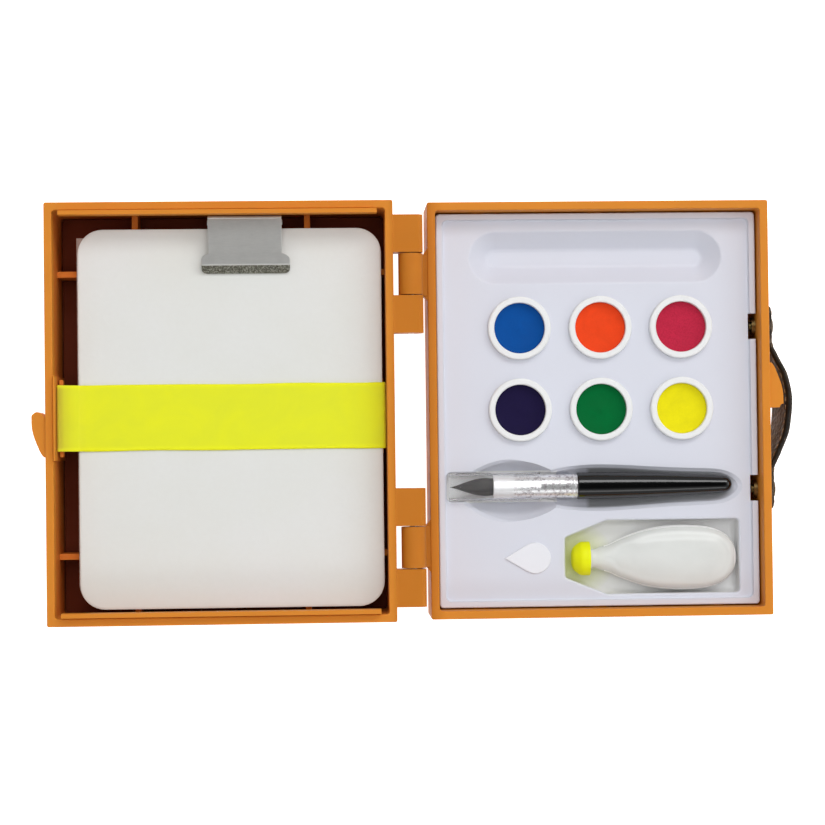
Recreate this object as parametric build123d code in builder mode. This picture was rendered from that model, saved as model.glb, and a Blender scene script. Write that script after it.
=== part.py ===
from build123d import *
import math
import os

os.makedirs("parts", exist_ok=True)

# ---------------------------------------------------------------- dimensions
# Millimetres. The case lies open flat on both backs, rims up. X runs from the
# lid (the paper half) to the base (the paint half), Y along the hinge, Z up.
# Coordinates in the sketches are counted from the hinge axis.
HINGE_X = -1.30          # places the box around the whole object on the origin
HINGE_Z = 18.0           # height of the hinge axis
AXIS_GAP = 3.55          # hinge axis to the outer face of either hinge-side wall
CASE_W = 70.0            # each half, across the hinge
CASE_H = 85.0            # each half, along the hinge
RIM_STEP = 2.5           # the lid's rim stands this far above the hinge axis, the base's this far below
CLOSE_GAP = 0.05         # half of the gap left between the closed rims
LID_RIM = HINGE_Z + RIM_STEP - CLOSE_GAP
BASE_RIM = HINGE_Z - RIM_STEP - CLOSE_GAP
FLOOR = 1.6
LID_WALL = 1.6
BASE_WALL = 1.7
CORNER_R = 0.4
FOOT_R = 0.35

# hinge
BARREL_R = 2.5
EAR_R = 2.35
PIN_R = 0.75
KNUCKLE_BORE_R = 0.80
HINGE_Y = 27.6           # centre of each hinge set
KNUCKLE_L = 8.3
EAR_L = 7.6
HINGE_SIDE_GAP = 0.2
EAR_TOP = 20.35
NECK_TOP = 15.2
NECK_LOW = 12.4

# tongues on the lid that locate it inside the base
TONGUE_T = 0.85
TONGUE_OFFSET = 1.85     # from the outer face of the lid's long walls
FAR_TONGUE = (-71.78, -71.46)  # the short one in the middle of the far wall
FAR_TONGUE_TOP = LID_RIM + 1.15
TONGUE_TOP = LID_RIM + 1.8
RAIL_LOW = 19.0

# paper compartment
RIB_TOP = 11.3
PAD_X0, PAD_X1 = -67.4, -5.95
PAD_Y0, PAD_Y1 = -39.5, 37.4
BOARD_T = 1.0
PAPER_Z0, PAPER_Z1 = 12.42, 15.30
PAPER_CORNER = 5.0
STRAP_Y0, STRAP_Y1 = -7.5, 5.9
STRAP_T = 0.36
BOARD_X0, BOARD_X1 = -67.9, -6.1
BOARD_Y0, BOARD_Y1 = -39.35, 36.0

# spring clip on the upper edge of the pad
CLIP_X0, CLIP_X1 = -40.85, -26.0
JAW_X0, JAW_X1 = -42.25, -24.4
CLIP_PIN_Y, CLIP_PIN_Z = 38.45, 17.45
CLIP_PIN_R = 0.55

# paint tray
TRAY_X0, TRAY_X1 = 5.5, 71.55
TRAY_HALF_Y = 40.5
TRAY_FACE = 10.5         # the main surface
TRAY_EDGE = 11.5         # the raised border
TRAY_UNDER = 9.5
TRAY_WALL = 0.9
PAN_X = (22.55, 39.25, 55.95)
PAN_Y = (16.85, 0.0)
PAN_RING_R = 6.5
PAN_BODY_R = 5.95
PAINT_R = 5.2
PAN_TOP = 11.85

# brush
BRUSH_Y, BRUSH_Z = -15.75, 10.85
SCOOP_Y, SCOOP_AXIS_Z = -16.6, 12.99
SCOOP_R = 6.59
GROOVE_Y = -16.2

# bottle
BOTTLE_Y, BOTTLE_Z = -30.8, 9.0

# handle
RIVET_Y, RIVET_Z = 16.9, 7.7
FAR_X = AXIS_GAP + CASE_W


def flat(z):
    """A level plane at height z, with its origin on the hinge axis."""
    return Plane(origin=(HINGE_X, 0, z), x_dir=(1, 0, 0), z_dir=(0, 0, 1))


def across(y):
    """An upright plane at y: local x is X, local y is Z, and an extrusion runs towards -Y."""
    return Plane(origin=(HINGE_X, y, 0), x_dir=(1, 0, 0), z_dir=(0, -1, 0))


def along(x):
    """An upright plane at x: local x is Y, local y is Z, and an extrusion runs towards +X."""
    return Plane(origin=(HINGE_X + x, 0, 0), x_dir=(0, 1, 0), z_dir=(1, 0, 0))


def lying(y, z):
    """A plane through an axis that lies along X: local x is X and local y is up."""
    return Plane(origin=(HINGE_X, y, z), x_dir=(1, 0, 0), z_dir=(0, -1, 0))


def save(part, name):
    part.label = name
    export_step(part, f"parts/{name}.step")


hinge_sets = (("upper", HINGE_Y), ("lower", -HINGE_Y))
ear_spans = []
for _, yc in hinge_sets:
    inner = KNUCKLE_L / 2 + HINGE_SIDE_GAP
    ear_spans += [(yc + inner + EAR_L, EAR_L), (yc - inner, EAR_L)]

# ------------------------------------------------------------ lid (left half)
with BuildPart() as left_case_half:
    with BuildSketch(flat(0)):
        with Locations((-(AXIS_GAP + CASE_W / 2), 0)):
            RectangleRounded(CASE_W, CASE_H, CORNER_R)
    extrude(amount=LID_RIM)
    fillet(left_case_half.edges().group_by(Axis.Z)[0], FOOT_R)
    with BuildSketch(flat(FLOOR)):
        with Locations((-(AXIS_GAP + CASE_W / 2), 0)):
            RectangleRounded(CASE_W - 2 * LID_WALL, CASE_H - 2 * LID_WALL, 0.6)
    extrude(amount=LID_RIM, mode=Mode.SUBTRACT)
    fillet(left_case_half.edges().group_by(Axis.Z)[-1], 0.22)

    # locating rails along both long walls, rounded at their upper corners
    for side in (1, -1):
        y_out = side * (CASE_H / 2 - TONGUE_OFFSET)
        y_start = y_out if side > 0 else y_out + TONGUE_T
        with BuildSketch(across(y_start)):
            with BuildLine():
                Polyline((-70.5, RAIL_LOW), (-6.8, RAIL_LOW), (-6.8, TONGUE_TOP), (-70.5, TONGUE_TOP), close=True)
            make_face()
            fillet([v for v in vertices() if v.Z > TONGUE_TOP - 0.01], 1.1)
        extrude(amount=TONGUE_T)
        with BuildSketch(flat(RAIL_LOW)):
            with Locations((-38.65, side * (CASE_H / 2 - LID_WALL - 0.1))):
                Rectangle(63.7, 0.9)
        extrude(amount=LID_RIM - RAIL_LOW - 0.35)

    # short tongue in the middle of the far wall; its root is also the strap's backing
    with BuildSketch(flat(5.0)):
        with Locations(((FAR_TONGUE[0] + FAR_TONGUE[1]) / 2, -0.8)):
            Rectangle(FAR_TONGUE[1] - FAR_TONGUE[0], 17.0)
    extrude(amount=FAR_TONGUE_TOP - 5.0)
    with BuildSketch(flat(5.0)):
        with Locations(((FAR_TONGUE[1] - 72.2) / 2, -0.8)):
            Rectangle(FAR_TONGUE[1] + 72.2, 17.0)
    extrude(amount=LID_RIM - 5.0 - 0.45)

    # ribs that carry the pad
    for x, y, w, d in (
        (-69.0, 28.7, 6.4, 1.2), (-69.0, -28.9, 6.4, 1.2),
        (-7.6, 28.7, 5.4, 1.2), (-7.6, -28.9, 5.4, 1.2),
        (-56.1, 37.4, 1.2, 7.4), (-20.9, 37.4, 1.2, 7.4),
        (-56.1, -37.4, 1.2, 7.4), (-21.4, -37.4, 1.2, 7.4),
    ):
        with BuildSketch(flat(FLOOR - 0.3)):
            with Locations((x, y)):
                Rectangle(w, d)
        extrude(amount=RIB_TOP - FLOOR + 0.3)

    # hinge ears: a flat-topped plate from the wall, round underneath, over the pin
    for y_start, length in ear_spans:
        with BuildSketch(across(y_start)):
            with BuildLine():
                Polyline((-AXIS_GAP - 0.4, 15.9), (-0.9, 15.86), (0, 16.4), (0, HINGE_Z), (2.45, HINGE_Z), (2.45, 19.5),
                         (1.6, EAR_TOP), (-AXIS_GAP - 0.4, EAR_TOP), close=True)
            make_face()
            with Locations((0, HINGE_Z)):
                Circle(EAR_R)
        extrude(amount=length)
        with BuildSketch(across(y_start + 1)):
            with Locations((0, HINGE_Z)):
                Circle(PIN_R)
        extrude(amount=length + 2, mode=Mode.SUBTRACT)

    # thumb tab, blunt at its upper end
    with BuildSketch(flat(13.4)):
        with BuildLine():
            Polyline((-FAR_X - 0.3, -8.6), (-FAR_X + 0.4, -8.6), (-FAR_X + 0.4, -0.9), (-FAR_X - 0.1, -0.9))
            Spline((-FAR_X - 0.1, -0.9), (-74.3, 0.1), (-75.4, 0.5), (-76.1, 0.05), (-76.35, -1.2), tangents=((-0.1, 1), (0, -1)))
            Spline((-76.35, -1.2), (-76.05, -3.9), (-75.1, -6.5), (-FAR_X - 0.3, -8.6), tangents=((0, -1), (0.75, -0.66)))
        make_face()
    extrude(amount=6.4)

# ----------------------------------------------------------- base (right half)
with BuildPart() as right_case_half:
    with BuildSketch(flat(0)):
        with Locations((AXIS_GAP + CASE_W / 2, 0)):
            RectangleRounded(CASE_W, CASE_H, CORNER_R)
    extrude(amount=BASE_RIM)
    fillet(right_case_half.edges().group_by(Axis.Z)[0], FOOT_R)
    with BuildSketch(flat(FLOOR)):
        with Locations((AXIS_GAP + CASE_W / 2, 0)):
            RectangleRounded(CASE_W - 2 * BASE_WALL, CASE_H - 2 * BASE_WALL, 0.6)
    extrude(amount=BASE_RIM, mode=Mode.SUBTRACT)
    fillet(right_case_half.edges().group_by(Axis.Z)[-1], 0.22)

    # ledges under the tray's border
    for x, y, w, d in (
        (14, 40.2, 3.0, 1.5), (38.5, 40.2, 3.0, 1.5), (63, 40.2, 3.0, 1.5),
        (14, -40.2, 3.0, 1.5), (38.5, -40.2, 3.0, 1.5), (63, -40.2, 3.0, 1.5),
        (5.9, 8.4, 1.9, 3.0), (5.9, -24.5, 1.9, 3.0),
        (71.2, 8.4, 1.5, 3.0), (71.2, -24.5, 1.5, 3.0),
    ):
        with BuildSketch(flat(FLOOR - 0.3)):
            with Locations((x, y)):
                Rectangle(w, d)
        extrude(amount=TRAY_UNDER - 0.05 - FLOOR + 0.3)

    # hinge knuckles: a barrel on a sloping neck that widens where it meets the wall
    for _, yc in hinge_sets:
        with BuildSketch(across(yc + KNUCKLE_L / 2)):
            with BuildLine():
                Polyline((0, HINGE_Z - BARREL_R + 0.02), (0, HINGE_Z), (BARREL_R - 0.02, HINGE_Z), (BARREL_R - 0.02, 15.9),
                         (AXIS_GAP, NECK_TOP), (AXIS_GAP + 0.4, NECK_TOP), (AXIS_GAP + 0.4, NECK_LOW),
                         (3.0, NECK_LOW), close=True)
            make_face()
            with Locations((0, HINGE_Z)):
                Circle(BARREL_R)
        extrude(amount=KNUCKLE_L)
        with BuildSketch(flat(NECK_LOW)):
            with BuildLine():
                half = KNUCKLE_L / 2
                Polyline((2.6, yc + half), (AXIS_GAP, yc + half + 1.3), (AXIS_GAP + 0.4, yc + half + 1.3),
                         (AXIS_GAP + 0.4, yc - half - 1.1), (AXIS_GAP, yc - half - 1.1), (2.6, yc - half), close=True)
            make_face()
        extrude(amount=NECK_TOP - NECK_LOW)
        with BuildSketch(across(yc + KNUCKLE_L / 2 + 1)):
            with Locations((0, HINGE_Z)):
                Circle(KNUCKLE_BORE_R)
        extrude(amount=KNUCKLE_L + 2, mode=Mode.SUBTRACT)

    # thumb tab, blunt at its lower end
    with BuildSketch(flat(8.4)):
        with BuildLine():
            Polyline((FAR_X + 0.4, 9.1), (FAR_X - 0.4, 9.1), (FAR_X - 0.4, -0.1), (75.6, -0.1))
            RadiusArc((75.6, -0.1), (76.35, 0.65), 0.75)
            Line((76.35, 0.65), (76.35, 1.6))
            Spline((76.35, 1.6), (76.05, 4.3), (75.1, 7.0), (FAR_X + 0.4, 9.1), tangents=((0, 1), (-0.75, 0.66)))
        make_face()
    extrude(amount=6.4)

    # holes for the handle rivets
    with BuildSketch(along(FAR_X - 4)):
        with Locations((RIVET_Y, RIVET_Z), (-RIVET_Y, RIVET_Z)):
            Circle(1.0)
    extrude(amount=8, mode=Mode.SUBTRACT)

# ------------------------------------------------------------------ hinge pins
pin_half = KNUCKLE_L / 2 + HINGE_SIDE_GAP + EAR_L
with BuildPart() as hinge_pin_upper:
    with BuildSketch(across(HINGE_Y + pin_half)):
        with Locations((0, HINGE_Z)):
            Circle(PIN_R)
    extrude(amount=2 * pin_half)

with BuildPart() as hinge_pin_lower:
    with BuildSketch(across(-HINGE_Y + pin_half)):
        with Locations((0, HINGE_Z)):
            Circle(PIN_R)
    extrude(amount=2 * pin_half)

# ---------------------------------------------------------------- handle strap
# The ends lie flat on the wall; the middle stands away from it, more at the
# strap's upper edge than at its lower edge.


def strap_outline(bulge, t=1.25):
    """The strap seen from above: a flat end, a swell of the given height and a flat end."""
    x = FAR_X + 0.05
    outer = [(x + t, 21.0), (x + t, 13.6), (x + t + bulge * 0.30, 10.6), (x + t + bulge * 0.80, 6.4), (x + t + bulge, 1.5),
             (x + t + bulge * 0.86, -4.2), (x + t + bulge * 0.36, -9.6), (x + t, -13.2), (x + t, -21.0)]
    return x, outer


with BuildPart() as handle_strap:
    for z, bulge in ((3.3, 2.6), (12.3, 4.1)):
        x, outer = strap_outline(bulge)
        inner = [(px - 1.25, py) for px, py in outer]
        with BuildSketch(flat(z)):
            with BuildLine():
                Line(outer[0], outer[1])
                Spline(outer[1:-1], tangents=((0, -1), (0, -1)))
                Line(outer[-2], outer[-1])
                Line(outer[-1], inner[-1])
                Line(inner[-1], inner[-2])
                Spline(inner[-2:0:-1], tangents=((0, 1), (0, 1)))
                Line(inner[1], inner[0])
                Line(inner[0], outer[0])
            make_face()
    loft(ruled=True)
    with BuildSketch(along(FAR_X - 2)):
        with Locations((RIVET_Y, RIVET_Z), (-RIVET_Y, RIVET_Z)):
            Circle(1.0)
    extrude(amount=6, mode=Mode.SUBTRACT)

# two rivets: a domed head outside, a shank through strap and wall
with BuildPart() as handle_rivets:
    with BuildSketch(along(FAR_X - 2.9)):
        with Locations((RIVET_Y, RIVET_Z), (-RIVET_Y, RIVET_Z)):
            Circle(1.0)
    extrude(amount=4.3)
    with BuildSketch(along(FAR_X + 1.32)):
        with Locations((RIVET_Y, RIVET_Z), (-RIVET_Y, RIVET_Z)):
            Circle(2.0)
    extrude(amount=0.75)
    fillet(handle_rivets.edges().group_by(Axis.X)[-1], 0.6)

# washers under the rivets' tails, inside the wall
with BuildPart() as rivet_washers:
    with BuildSketch(along(FAR_X - BASE_WALL - 0.75)):
        with Locations((RIVET_Y, RIVET_Z), (-RIVET_Y, RIVET_Z)):
            Circle(1.9)
            Circle(1.0, mode=Mode.SUBTRACT)
    extrude(amount=0.75)

# ------------------------------------------------------------- paper and strap
with BuildPart() as pad_backing_board:
    with BuildSketch(flat(RIB_TOP + 0.08)):
        with Locations(((BOARD_X0 + BOARD_X1) / 2, (BOARD_Y0 + BOARD_Y1) / 2)):
            Rectangle(BOARD_X1 - BOARD_X0, BOARD_Y1 - BOARD_Y0)
        by_x = vertices().sort_by(Axis.X)
        square = by_x[:2].sort_by(Axis.Y)[-1]
        fillet([v for v in vertices() if v != square], PAPER_CORNER)
    extrude(amount=BOARD_T)

with BuildPart() as pad_sheets:
    with BuildSketch(flat(PAPER_Z0)):
        with Locations(((PAD_X0 + PAD_X1) / 2, (PAD_Y0 + PAD_Y1) / 2)):
            RectangleRounded(PAD_X1 - PAD_X0, PAD_Y1 - PAD_Y0, PAPER_CORNER)
    extrude(amount=PAPER_Z1 - PAPER_Z0)

strap_in = FAR_TONGUE[1] + 0.03
wall_in = -(AXIS_GAP + LID_WALL) - 0.05
with BuildPart() as elastic_strap:
    z0, z1 = PAPER_Z1 + 0.06, PAPER_Z1 + 0.06 + STRAP_T
    with BuildSketch(across(STRAP_Y1)):
        with BuildLine():
            Polyline((strap_in, 14.5), (strap_in + STRAP_T, 14.5), (strap_in + STRAP_T, 18.55), (PAD_X0 - 0.35, z0 + 0.02),
                     (wall_in - STRAP_T, z0), (wall_in - STRAP_T, 6.0), (wall_in, 6.0), (wall_in, z1),
                     (PAD_X0 - 0.2, z1), (strap_in + 0.1, 19.3), (strap_in, 19.2), close=True)
        make_face()
    extrude(amount=STRAP_Y1 - STRAP_Y0)

# bars that clamp the strap's ends to the far tongue and to the hinge-side wall
with BuildPart() as strap_anchor_bars:
    for x, z, height in ((strap_in + STRAP_T + 0.35, 14.6, 2.0), (wall_in - STRAP_T - 0.45, 6.0, 3.2)):
        with BuildSketch(flat(z)):
            with Locations((x, -0.8)):
                RectangleRounded(0.7 if z > 10 else 0.9, 15.6, 0.3)
        extrude(amount=height)

# ------------------------------------------------------------------ paper clip
with BuildPart() as clip_rear_plate:
    # plate under the board, with a back wall and two cheeks around the pin
    with BuildSketch(along(CLIP_X0 + 0.8)):
        with BuildLine():
            Polyline((28.6, 10.70), (39.70, 10.70), (39.70, 13.2), (39.30, 13.2), (39.30, 11.1), (28.6, 11.1), close=True)
        make_face()
    extrude(amount=CLIP_X1 - CLIP_X0 - 1.6)
    for x in (CLIP_X0 + 0.8, CLIP_X1 - 1.2):
        with BuildSketch(along(x)):
            with BuildLine():
                Polyline((37.85, 10.9), (39.68, 10.9), (39.68, 15.5), (39.20, 16.6), (39.20, CLIP_PIN_Z), (37.70, CLIP_PIN_Z),
                         (37.70, 16.0), (37.85, 15.6), close=True)
            make_face()
            with Locations((CLIP_PIN_Y, CLIP_PIN_Z)):
                Circle(0.78)
        extrude(amount=0.4)
    with BuildSketch(along(CLIP_X0)):
        with Locations((CLIP_PIN_Y, CLIP_PIN_Z)):
            Circle(CLIP_PIN_R)
    extrude(amount=CLIP_X1 - CLIP_X0, mode=Mode.SUBTRACT)

with BuildPart() as clip_front_jaw:
    # sheet-metal profile: back bend, sloping top, crease and lip
    with BuildSketch(along(CLIP_X0)):
        with BuildLine():
            Polyline((39.72, 17.7), (39.72, 18.75), (39.2, 19.05), (32.0, 17.55), (32.0, 17.15), (38.85, 18.55),
                     (39.32, 18.35), (39.32, 17.7), close=True)
        make_face()
    extrude(amount=CLIP_X1 - CLIP_X0)
    with BuildSketch(along(JAW_X0)):
        with BuildLine():
            Polyline((32.2, 17.15), (32.2, 17.55), (29.9, 17.30), (28.25, 15.80), (28.25, 15.36), (28.65, 15.36),
                     (30.15, 16.85), close=True)
        make_face()
    extrude(amount=JAW_X1 - JAW_X0)
    fillet([e for e in clip_front_jaw.edges().filter_by(Axis.Z) if e.length < 0.7
            and abs(abs(e.center().X - HINGE_X - (JAW_X0 + JAW_X1) / 2) - (JAW_X1 - JAW_X0) / 2) < 0.01
            and e.center().Y > 32.0], 0.15)
    # cheeks that hang on the pin
    for x in (CLIP_X0, CLIP_X1 - 0.4):
        with BuildSketch(along(x)):
            with BuildLine():
                Polyline((39.65, 17.45), (39.65, 18.6), (39.1, 18.8), (33.5, 17.5), (35.2, 16.9), (37.7, 16.75), (38.45, 16.62), close=True)
            make_face()
            with Locations((CLIP_PIN_Y, CLIP_PIN_Z)):
                Circle(0.85)
        extrude(amount=0.4)
        with BuildSketch(along(x - 0.3)):
            with Locations((CLIP_PIN_Y, CLIP_PIN_Z)):
                Circle(CLIP_PIN_R + 0.05)
        extrude(amount=1.0, mode=Mode.SUBTRACT)

with BuildPart() as clip_pin:
    with BuildSketch(along(CLIP_X0 - 0.15)):
        with Locations((CLIP_PIN_Y, CLIP_PIN_Z)):
            Circle(CLIP_PIN_R)
    extrude(amount=CLIP_X1 - CLIP_X0 + 0.3)

with BuildPart() as clip_spring:
    with BuildSketch(along(CLIP_X0 + 3.4)):
        with Locations((CLIP_PIN_Y, CLIP_PIN_Z)):
            Circle(0.78)
            Circle(CLIP_PIN_R + 0.02, mode=Mode.SUBTRACT)
    extrude(amount=8.0)

# ------------------------------------------------------------------ paint tray
tray_cx = (TRAY_X0 + TRAY_X1) / 2
tray_w = TRAY_X1 - TRAY_X0


def edges_at(part, z, x0, x1, y0, y1):
    """The edges of a part that lie at height z inside a rectangle."""
    return [e for e in part.edges() if abs(e.center().Z - z) < 0.02 and x0 < e.center().X - HINGE_X < x1 and y0 < e.center().Y < y1]


def trough(z, w, h):
    with BuildSketch(flat(z)) as s:
        with Locations((38.55, 31.45)):
            SlotOverall(w, h)
    return s.sketch


def brush_groove(z, grow):
    """The plan of the skin under the brush: narrow at the sleeve, then wide enough for a fingertip."""
    with BuildSketch(flat(z)) as s:
        with BuildLine():
            Polyline((7.5 - grow, BRUSH_Y + 2.95 + grow), (26.5, BRUSH_Y + 2.95 + grow), (31.5, BRUSH_Y + 3.7 + grow),
                     (64.0, BRUSH_Y + 2.75 + grow), (67.9 + grow, BRUSH_Y + 1.2), (67.9 + grow, BRUSH_Y - 2.1),
                     (64.0, BRUSH_Y - 3.7 - grow), (31.5, BRUSH_Y - 4.75 - grow), (26.5, BRUSH_Y - 2.95 - grow),
                     (7.5 - grow, BRUSH_Y - 2.95 - grow), close=True)
        make_face()
        fillet([v for v in s.vertices() if v.X > HINGE_X + 60], 2.0)
        fillet([v for v in s.vertices() if v.X < HINGE_X + 10], 1.0)
    return s.sketch


def bottle_well(z, grow):
    with BuildSketch(flat(z)) as s:
        with BuildLine():
            Polyline((31.5 - grow, -26.45 + grow), (40.1 - grow * 0.4, -22.95 + grow), (67.55 + grow, -22.95 + grow),
                     (67.55 + grow, -38.1 - grow), (40.1 - grow * 0.4, -38.1 - grow), (31.5 - grow, -34.6 - grow), close=True)
        make_face()
        fillet(s.vertices(), 0.8)
    return s.sketch


with BuildPart() as paint_tray:
    with BuildSketch(flat(TRAY_UNDER)):
        with Locations((tray_cx, 0)):
            RectangleRounded(tray_w, 2 * TRAY_HALF_Y, 0.8)
    extrude(amount=TRAY_EDGE - TRAY_UNDER)
    fillet(paint_tray.edges().group_by(Axis.Z)[-1], 0.3)
    # the wells' outer skins, below the plate
    with BuildSketch(flat(6.4)):
        with Locations((38.55, 31.45)):
            SlotOverall(54.0, 12.4)
    extrude(amount=TRAY_UNDER - 6.4 + 0.2)
    for px in PAN_X:
        for py in PAN_Y:
            with BuildSketch(flat(3.9)):
                with Locations((px, py)):
                    Circle(PAN_BODY_R + 0.15 + TRAY_WALL)
            extrude(amount=TRAY_UNDER - 3.9 + 0.2)
    extrude(brush_groove(6.3, TRAY_WALL), amount=TRAY_UNDER - 6.3 + 0.2)
    with BuildSketch(flat(5.5)):
        with Locations((19.8, BRUSH_Y - 0.4)):
            RectangleRounded(22.2, 14.0, 3.0)
    extrude(amount=TRAY_UNDER - 5.5 + 0.2)
    extrude(bottle_well(4.5, TRAY_WALL), amount=TRAY_UNDER - 4.5 + 0.2)
    # the sunk main surface inside the raised border
    with BuildSketch(flat(TRAY_FACE)):
        with Locations((tray_cx, 0)):
            RectangleRounded(tray_w - 2.5, 2 * TRAY_HALF_Y - 2.5, 1.2)
    extrude(amount=3, mode=Mode.SUBTRACT)
    fillet(edges_at(paint_tray, TRAY_FACE, 5, 72, -41, 41), 0.4)
    # mixing trough with sloping sides and a flat strip at the bottom
    loft([trough(TRAY_FACE, 52.3, 10.75), trough(7.3, 45.0, 3.6)], ruled=True, mode=Mode.SUBTRACT)
    fillet(edges_at(paint_tray, 7.3, 10, 67, 25, 38), 1.2)
    fillet(edges_at(paint_tray, TRAY_FACE, 11, 66, 25.5, 37.5), 0.6)
    # six round seats for the pans
    for px in PAN_X:
        for py in PAN_Y:
            with BuildSketch(flat(4.8)):
                with Locations((px, py)):
                    Circle(PAN_BODY_R + 0.15)
            extrude(amount=8, mode=Mode.SUBTRACT)
    # bottle well
    extrude(bottle_well(5.4, 0), amount=9, mode=Mode.SUBTRACT)
    fillet(edges_at(paint_tray, 5.4, 30, 69, -40, -20), 1.4)
    fillet(edges_at(paint_tray, TRAY_FACE, 31, 68.4, -38.6, -22.5), 0.5)
    # narrow slot under the sleeve
    with BuildSketch(flat(7.2)):
        with Locations((20.1, BRUSH_Y)):
            RectangleRounded(25.8, 5.9, 1.0)
    extrude(amount=6, mode=Mode.SUBTRACT)
    fillet(edges_at(paint_tray, 7.2, 5, 69, -22, -10), 1.5)
    fillet([e for e in edges_at(paint_tray, TRAY_FACE, 6.8, 34, -20, -12)], 0.4)
    # the finger scoop and the groove beyond it are dishes turned about lines above the tray,
    # each with a second, flatter turn that eases its edge
    for axis_y, axis_z, profile in (
        (SCOOP_Y, SCOOP_AXIS_Z, ((9.75, 2.49), (19.25, SCOOP_R), (32.75, 2.49))),
        (SCOOP_Y, 16.8, ((9.4, 6.3), (12.25, 7.40), (19.25, 8.98), (26.25, 8.16), (33.15, 6.3))),
        (GROOVE_Y, 11.6, ((24.0, 1.1), (28.5, 3.4), (34.0, 4.36), (50.0, 3.95), (60.0, 3.52), (65.0, 2.95), (67.95, 1.1))),
        (GROOVE_Y, 14.5, ((23.4, 4.0), (28.5, 5.45), (34.0, 6.13), (50.0, 5.83), (60.0, 5.52), (65.2, 5.1), (68.4, 4.0))),
    ):
        with BuildSketch(lying(axis_y, axis_z)):
            with BuildLine():
                points = [(x, -r) for x, r in profile]
                Spline(points)
                Polyline(points[-1], (points[-1][0], 0), (points[0][0], 0), points[0])
            make_face()
        revolve(axis=Axis((HINGE_X, axis_y, axis_z), (1, 0, 0)), mode=Mode.SUBTRACT)
    # notches for the rivets' tails
    with BuildSketch(flat(1.0)):
        with Locations((TRAY_X1, 16.8), (TRAY_X1, -16.6)):
            Rectangle(3.0, 5.3)
    extrude(amount=12, mode=Mode.SUBTRACT)

with BuildPart() as drop_marker:
    with BuildSketch(flat(TRAY_FACE)):
        with BuildLine():
            cx, cy, r = 25.25, -30.5, 3.2
            tip = (19.0, cy)
            a = math.acos(r / (cx - tip[0]))
            p1 = (cx - r * math.cos(a), cy + r * math.sin(a))
            p2 = (cx - r * math.cos(a), cy - r * math.sin(a))
            Line(tip, p1)
            ThreePointArc(p1, (cx + r, cy), p2)
            Line(p2, tip)
        make_face()
    extrude(amount=0.42)
    fillet(drop_marker.edges().group_by(Axis.Z)[-1], 0.22)

# ------------------------------------------------------------------ paint pans
colours = ("blue", "orange", "crimson", "violet", "green", "yellow")
pans = {}
for i, colour in enumerate(colours):
    px, py = PAN_X[i % 3], PAN_Y[i // 3]
    with BuildPart() as cup:
        with BuildSketch(Plane(origin=(HINGE_X + px, py, 0), x_dir=(1, 0, 0), z_dir=(0, -1, 0))):
            with BuildLine():
                Polyline((0, 4.86), (PAN_BODY_R - 0.3, 4.86), (PAN_BODY_R, 5.16), (PAN_BODY_R, TRAY_FACE + 0.04),
                         (PAN_RING_R, TRAY_FACE + 0.04), (PAN_RING_R, PAN_TOP - 0.35))
                RadiusArc((PAN_RING_R, PAN_TOP - 0.35), (PAN_RING_R - 0.35, PAN_TOP), -0.35)
                Line((PAN_RING_R - 0.35, PAN_TOP), (PAINT_R + 0.25, PAN_TOP))
                RadiusArc((PAINT_R + 0.25, PAN_TOP), (PAINT_R, PAN_TOP - 0.25), -0.25)
                Polyline((PAINT_R, PAN_TOP - 0.25), (PAINT_R, 5.9), (0, 5.9), (0, 4.86))
            make_face()
        revolve(axis=Axis((HINGE_X + px, py, 0), (0, 0, 1)))
    with BuildPart() as cake:
        with BuildSketch(Plane(origin=(HINGE_X + px, py, 0), x_dir=(1, 0, 0), z_dir=(0, -1, 0))):
            with BuildLine():
                Polyline((0, 5.9), (PAINT_R, 5.9), (PAINT_R, 10.75))
                Spline((PAINT_R, 10.75), (PAINT_R - 0.9, 10.48), (0, 10.42))
                Line((0, 10.42), (0, 5.9))
            make_face()
        revolve(axis=Axis((HINGE_X + px, py, 0), (0, 0, 1)))
    pans[colour] = (cup, cake)

# ----------------------------------------------------------------------- brush
brush_axis = Axis((HINGE_X, BRUSH_Y, BRUSH_Z), (1, 0, 0))
with BuildPart() as brush_handle:
    with BuildSketch(lying(BRUSH_Y, BRUSH_Z)):
        with BuildLine():
            Polyline((28.0, 0), (28.0, 2.1), (34.0, 2.1), (34.0, 2.62), (34.25, 2.76))
            Spline((34.25, 2.76), (44.0, 2.66), (56.0, 2.2), (64.4, 1.74), tangents=((1, 0), (1, -0.06)))
            Spline((64.4, 1.74), (65.75, 1.15), (66.15, 0), tangents=((1, -0.06), (0, -1)))
            Line((66.15, 0), (28.0, 0))
        make_face()
    revolve(axis=brush_axis)

with BuildPart() as brush_ferrule:
    # a plain tube, drawn in over the bristles, with a rolled bead at the handle end
    with BuildSketch(lying(BRUSH_Y, BRUSH_Z)):
        with BuildLine():
            Polyline((16.7, 1.75), (16.7, 2.0), (20.6, 2.36), (26.6, 2.42), (32.9, 2.42), (33.1, 2.52), (33.5, 2.52), (33.7, 2.42),
                     (34.0, 2.42), (34.0, 2.1), (20.8, 2.1), (16.7, 1.75), close=True)
        make_face()
    revolve(axis=brush_axis)

with BuildPart() as brush_bristles:
    with BuildSketch(lying(BRUSH_Y, BRUSH_Z)):
        with BuildLine():
            Polyline((8.1, 0), (8.1, 0.12))
            Spline((8.1, 0.12), (10.6, 0.85), (13.6, 1.72), (15.6, 1.93), (16.6, 1.74))
            Polyline((16.6, 1.74), (16.9, 1.74), (20.0, 1.74), (20.0, 0), (8.1, 0))
        make_face()
    revolve(axis=brush_axis)

with BuildPart() as brush_sleeve:
    with BuildSketch(lying(BRUSH_Y, BRUSH_Z)):
        with BuildLine():
            Polyline((7.75, 2.50), (7.75, 2.72), (7.85, 2.82), (26.3, 2.82), (26.4, 2.72), (26.4, 2.50), close=True)
        make_face()
    revolve(axis=brush_axis)

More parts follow.
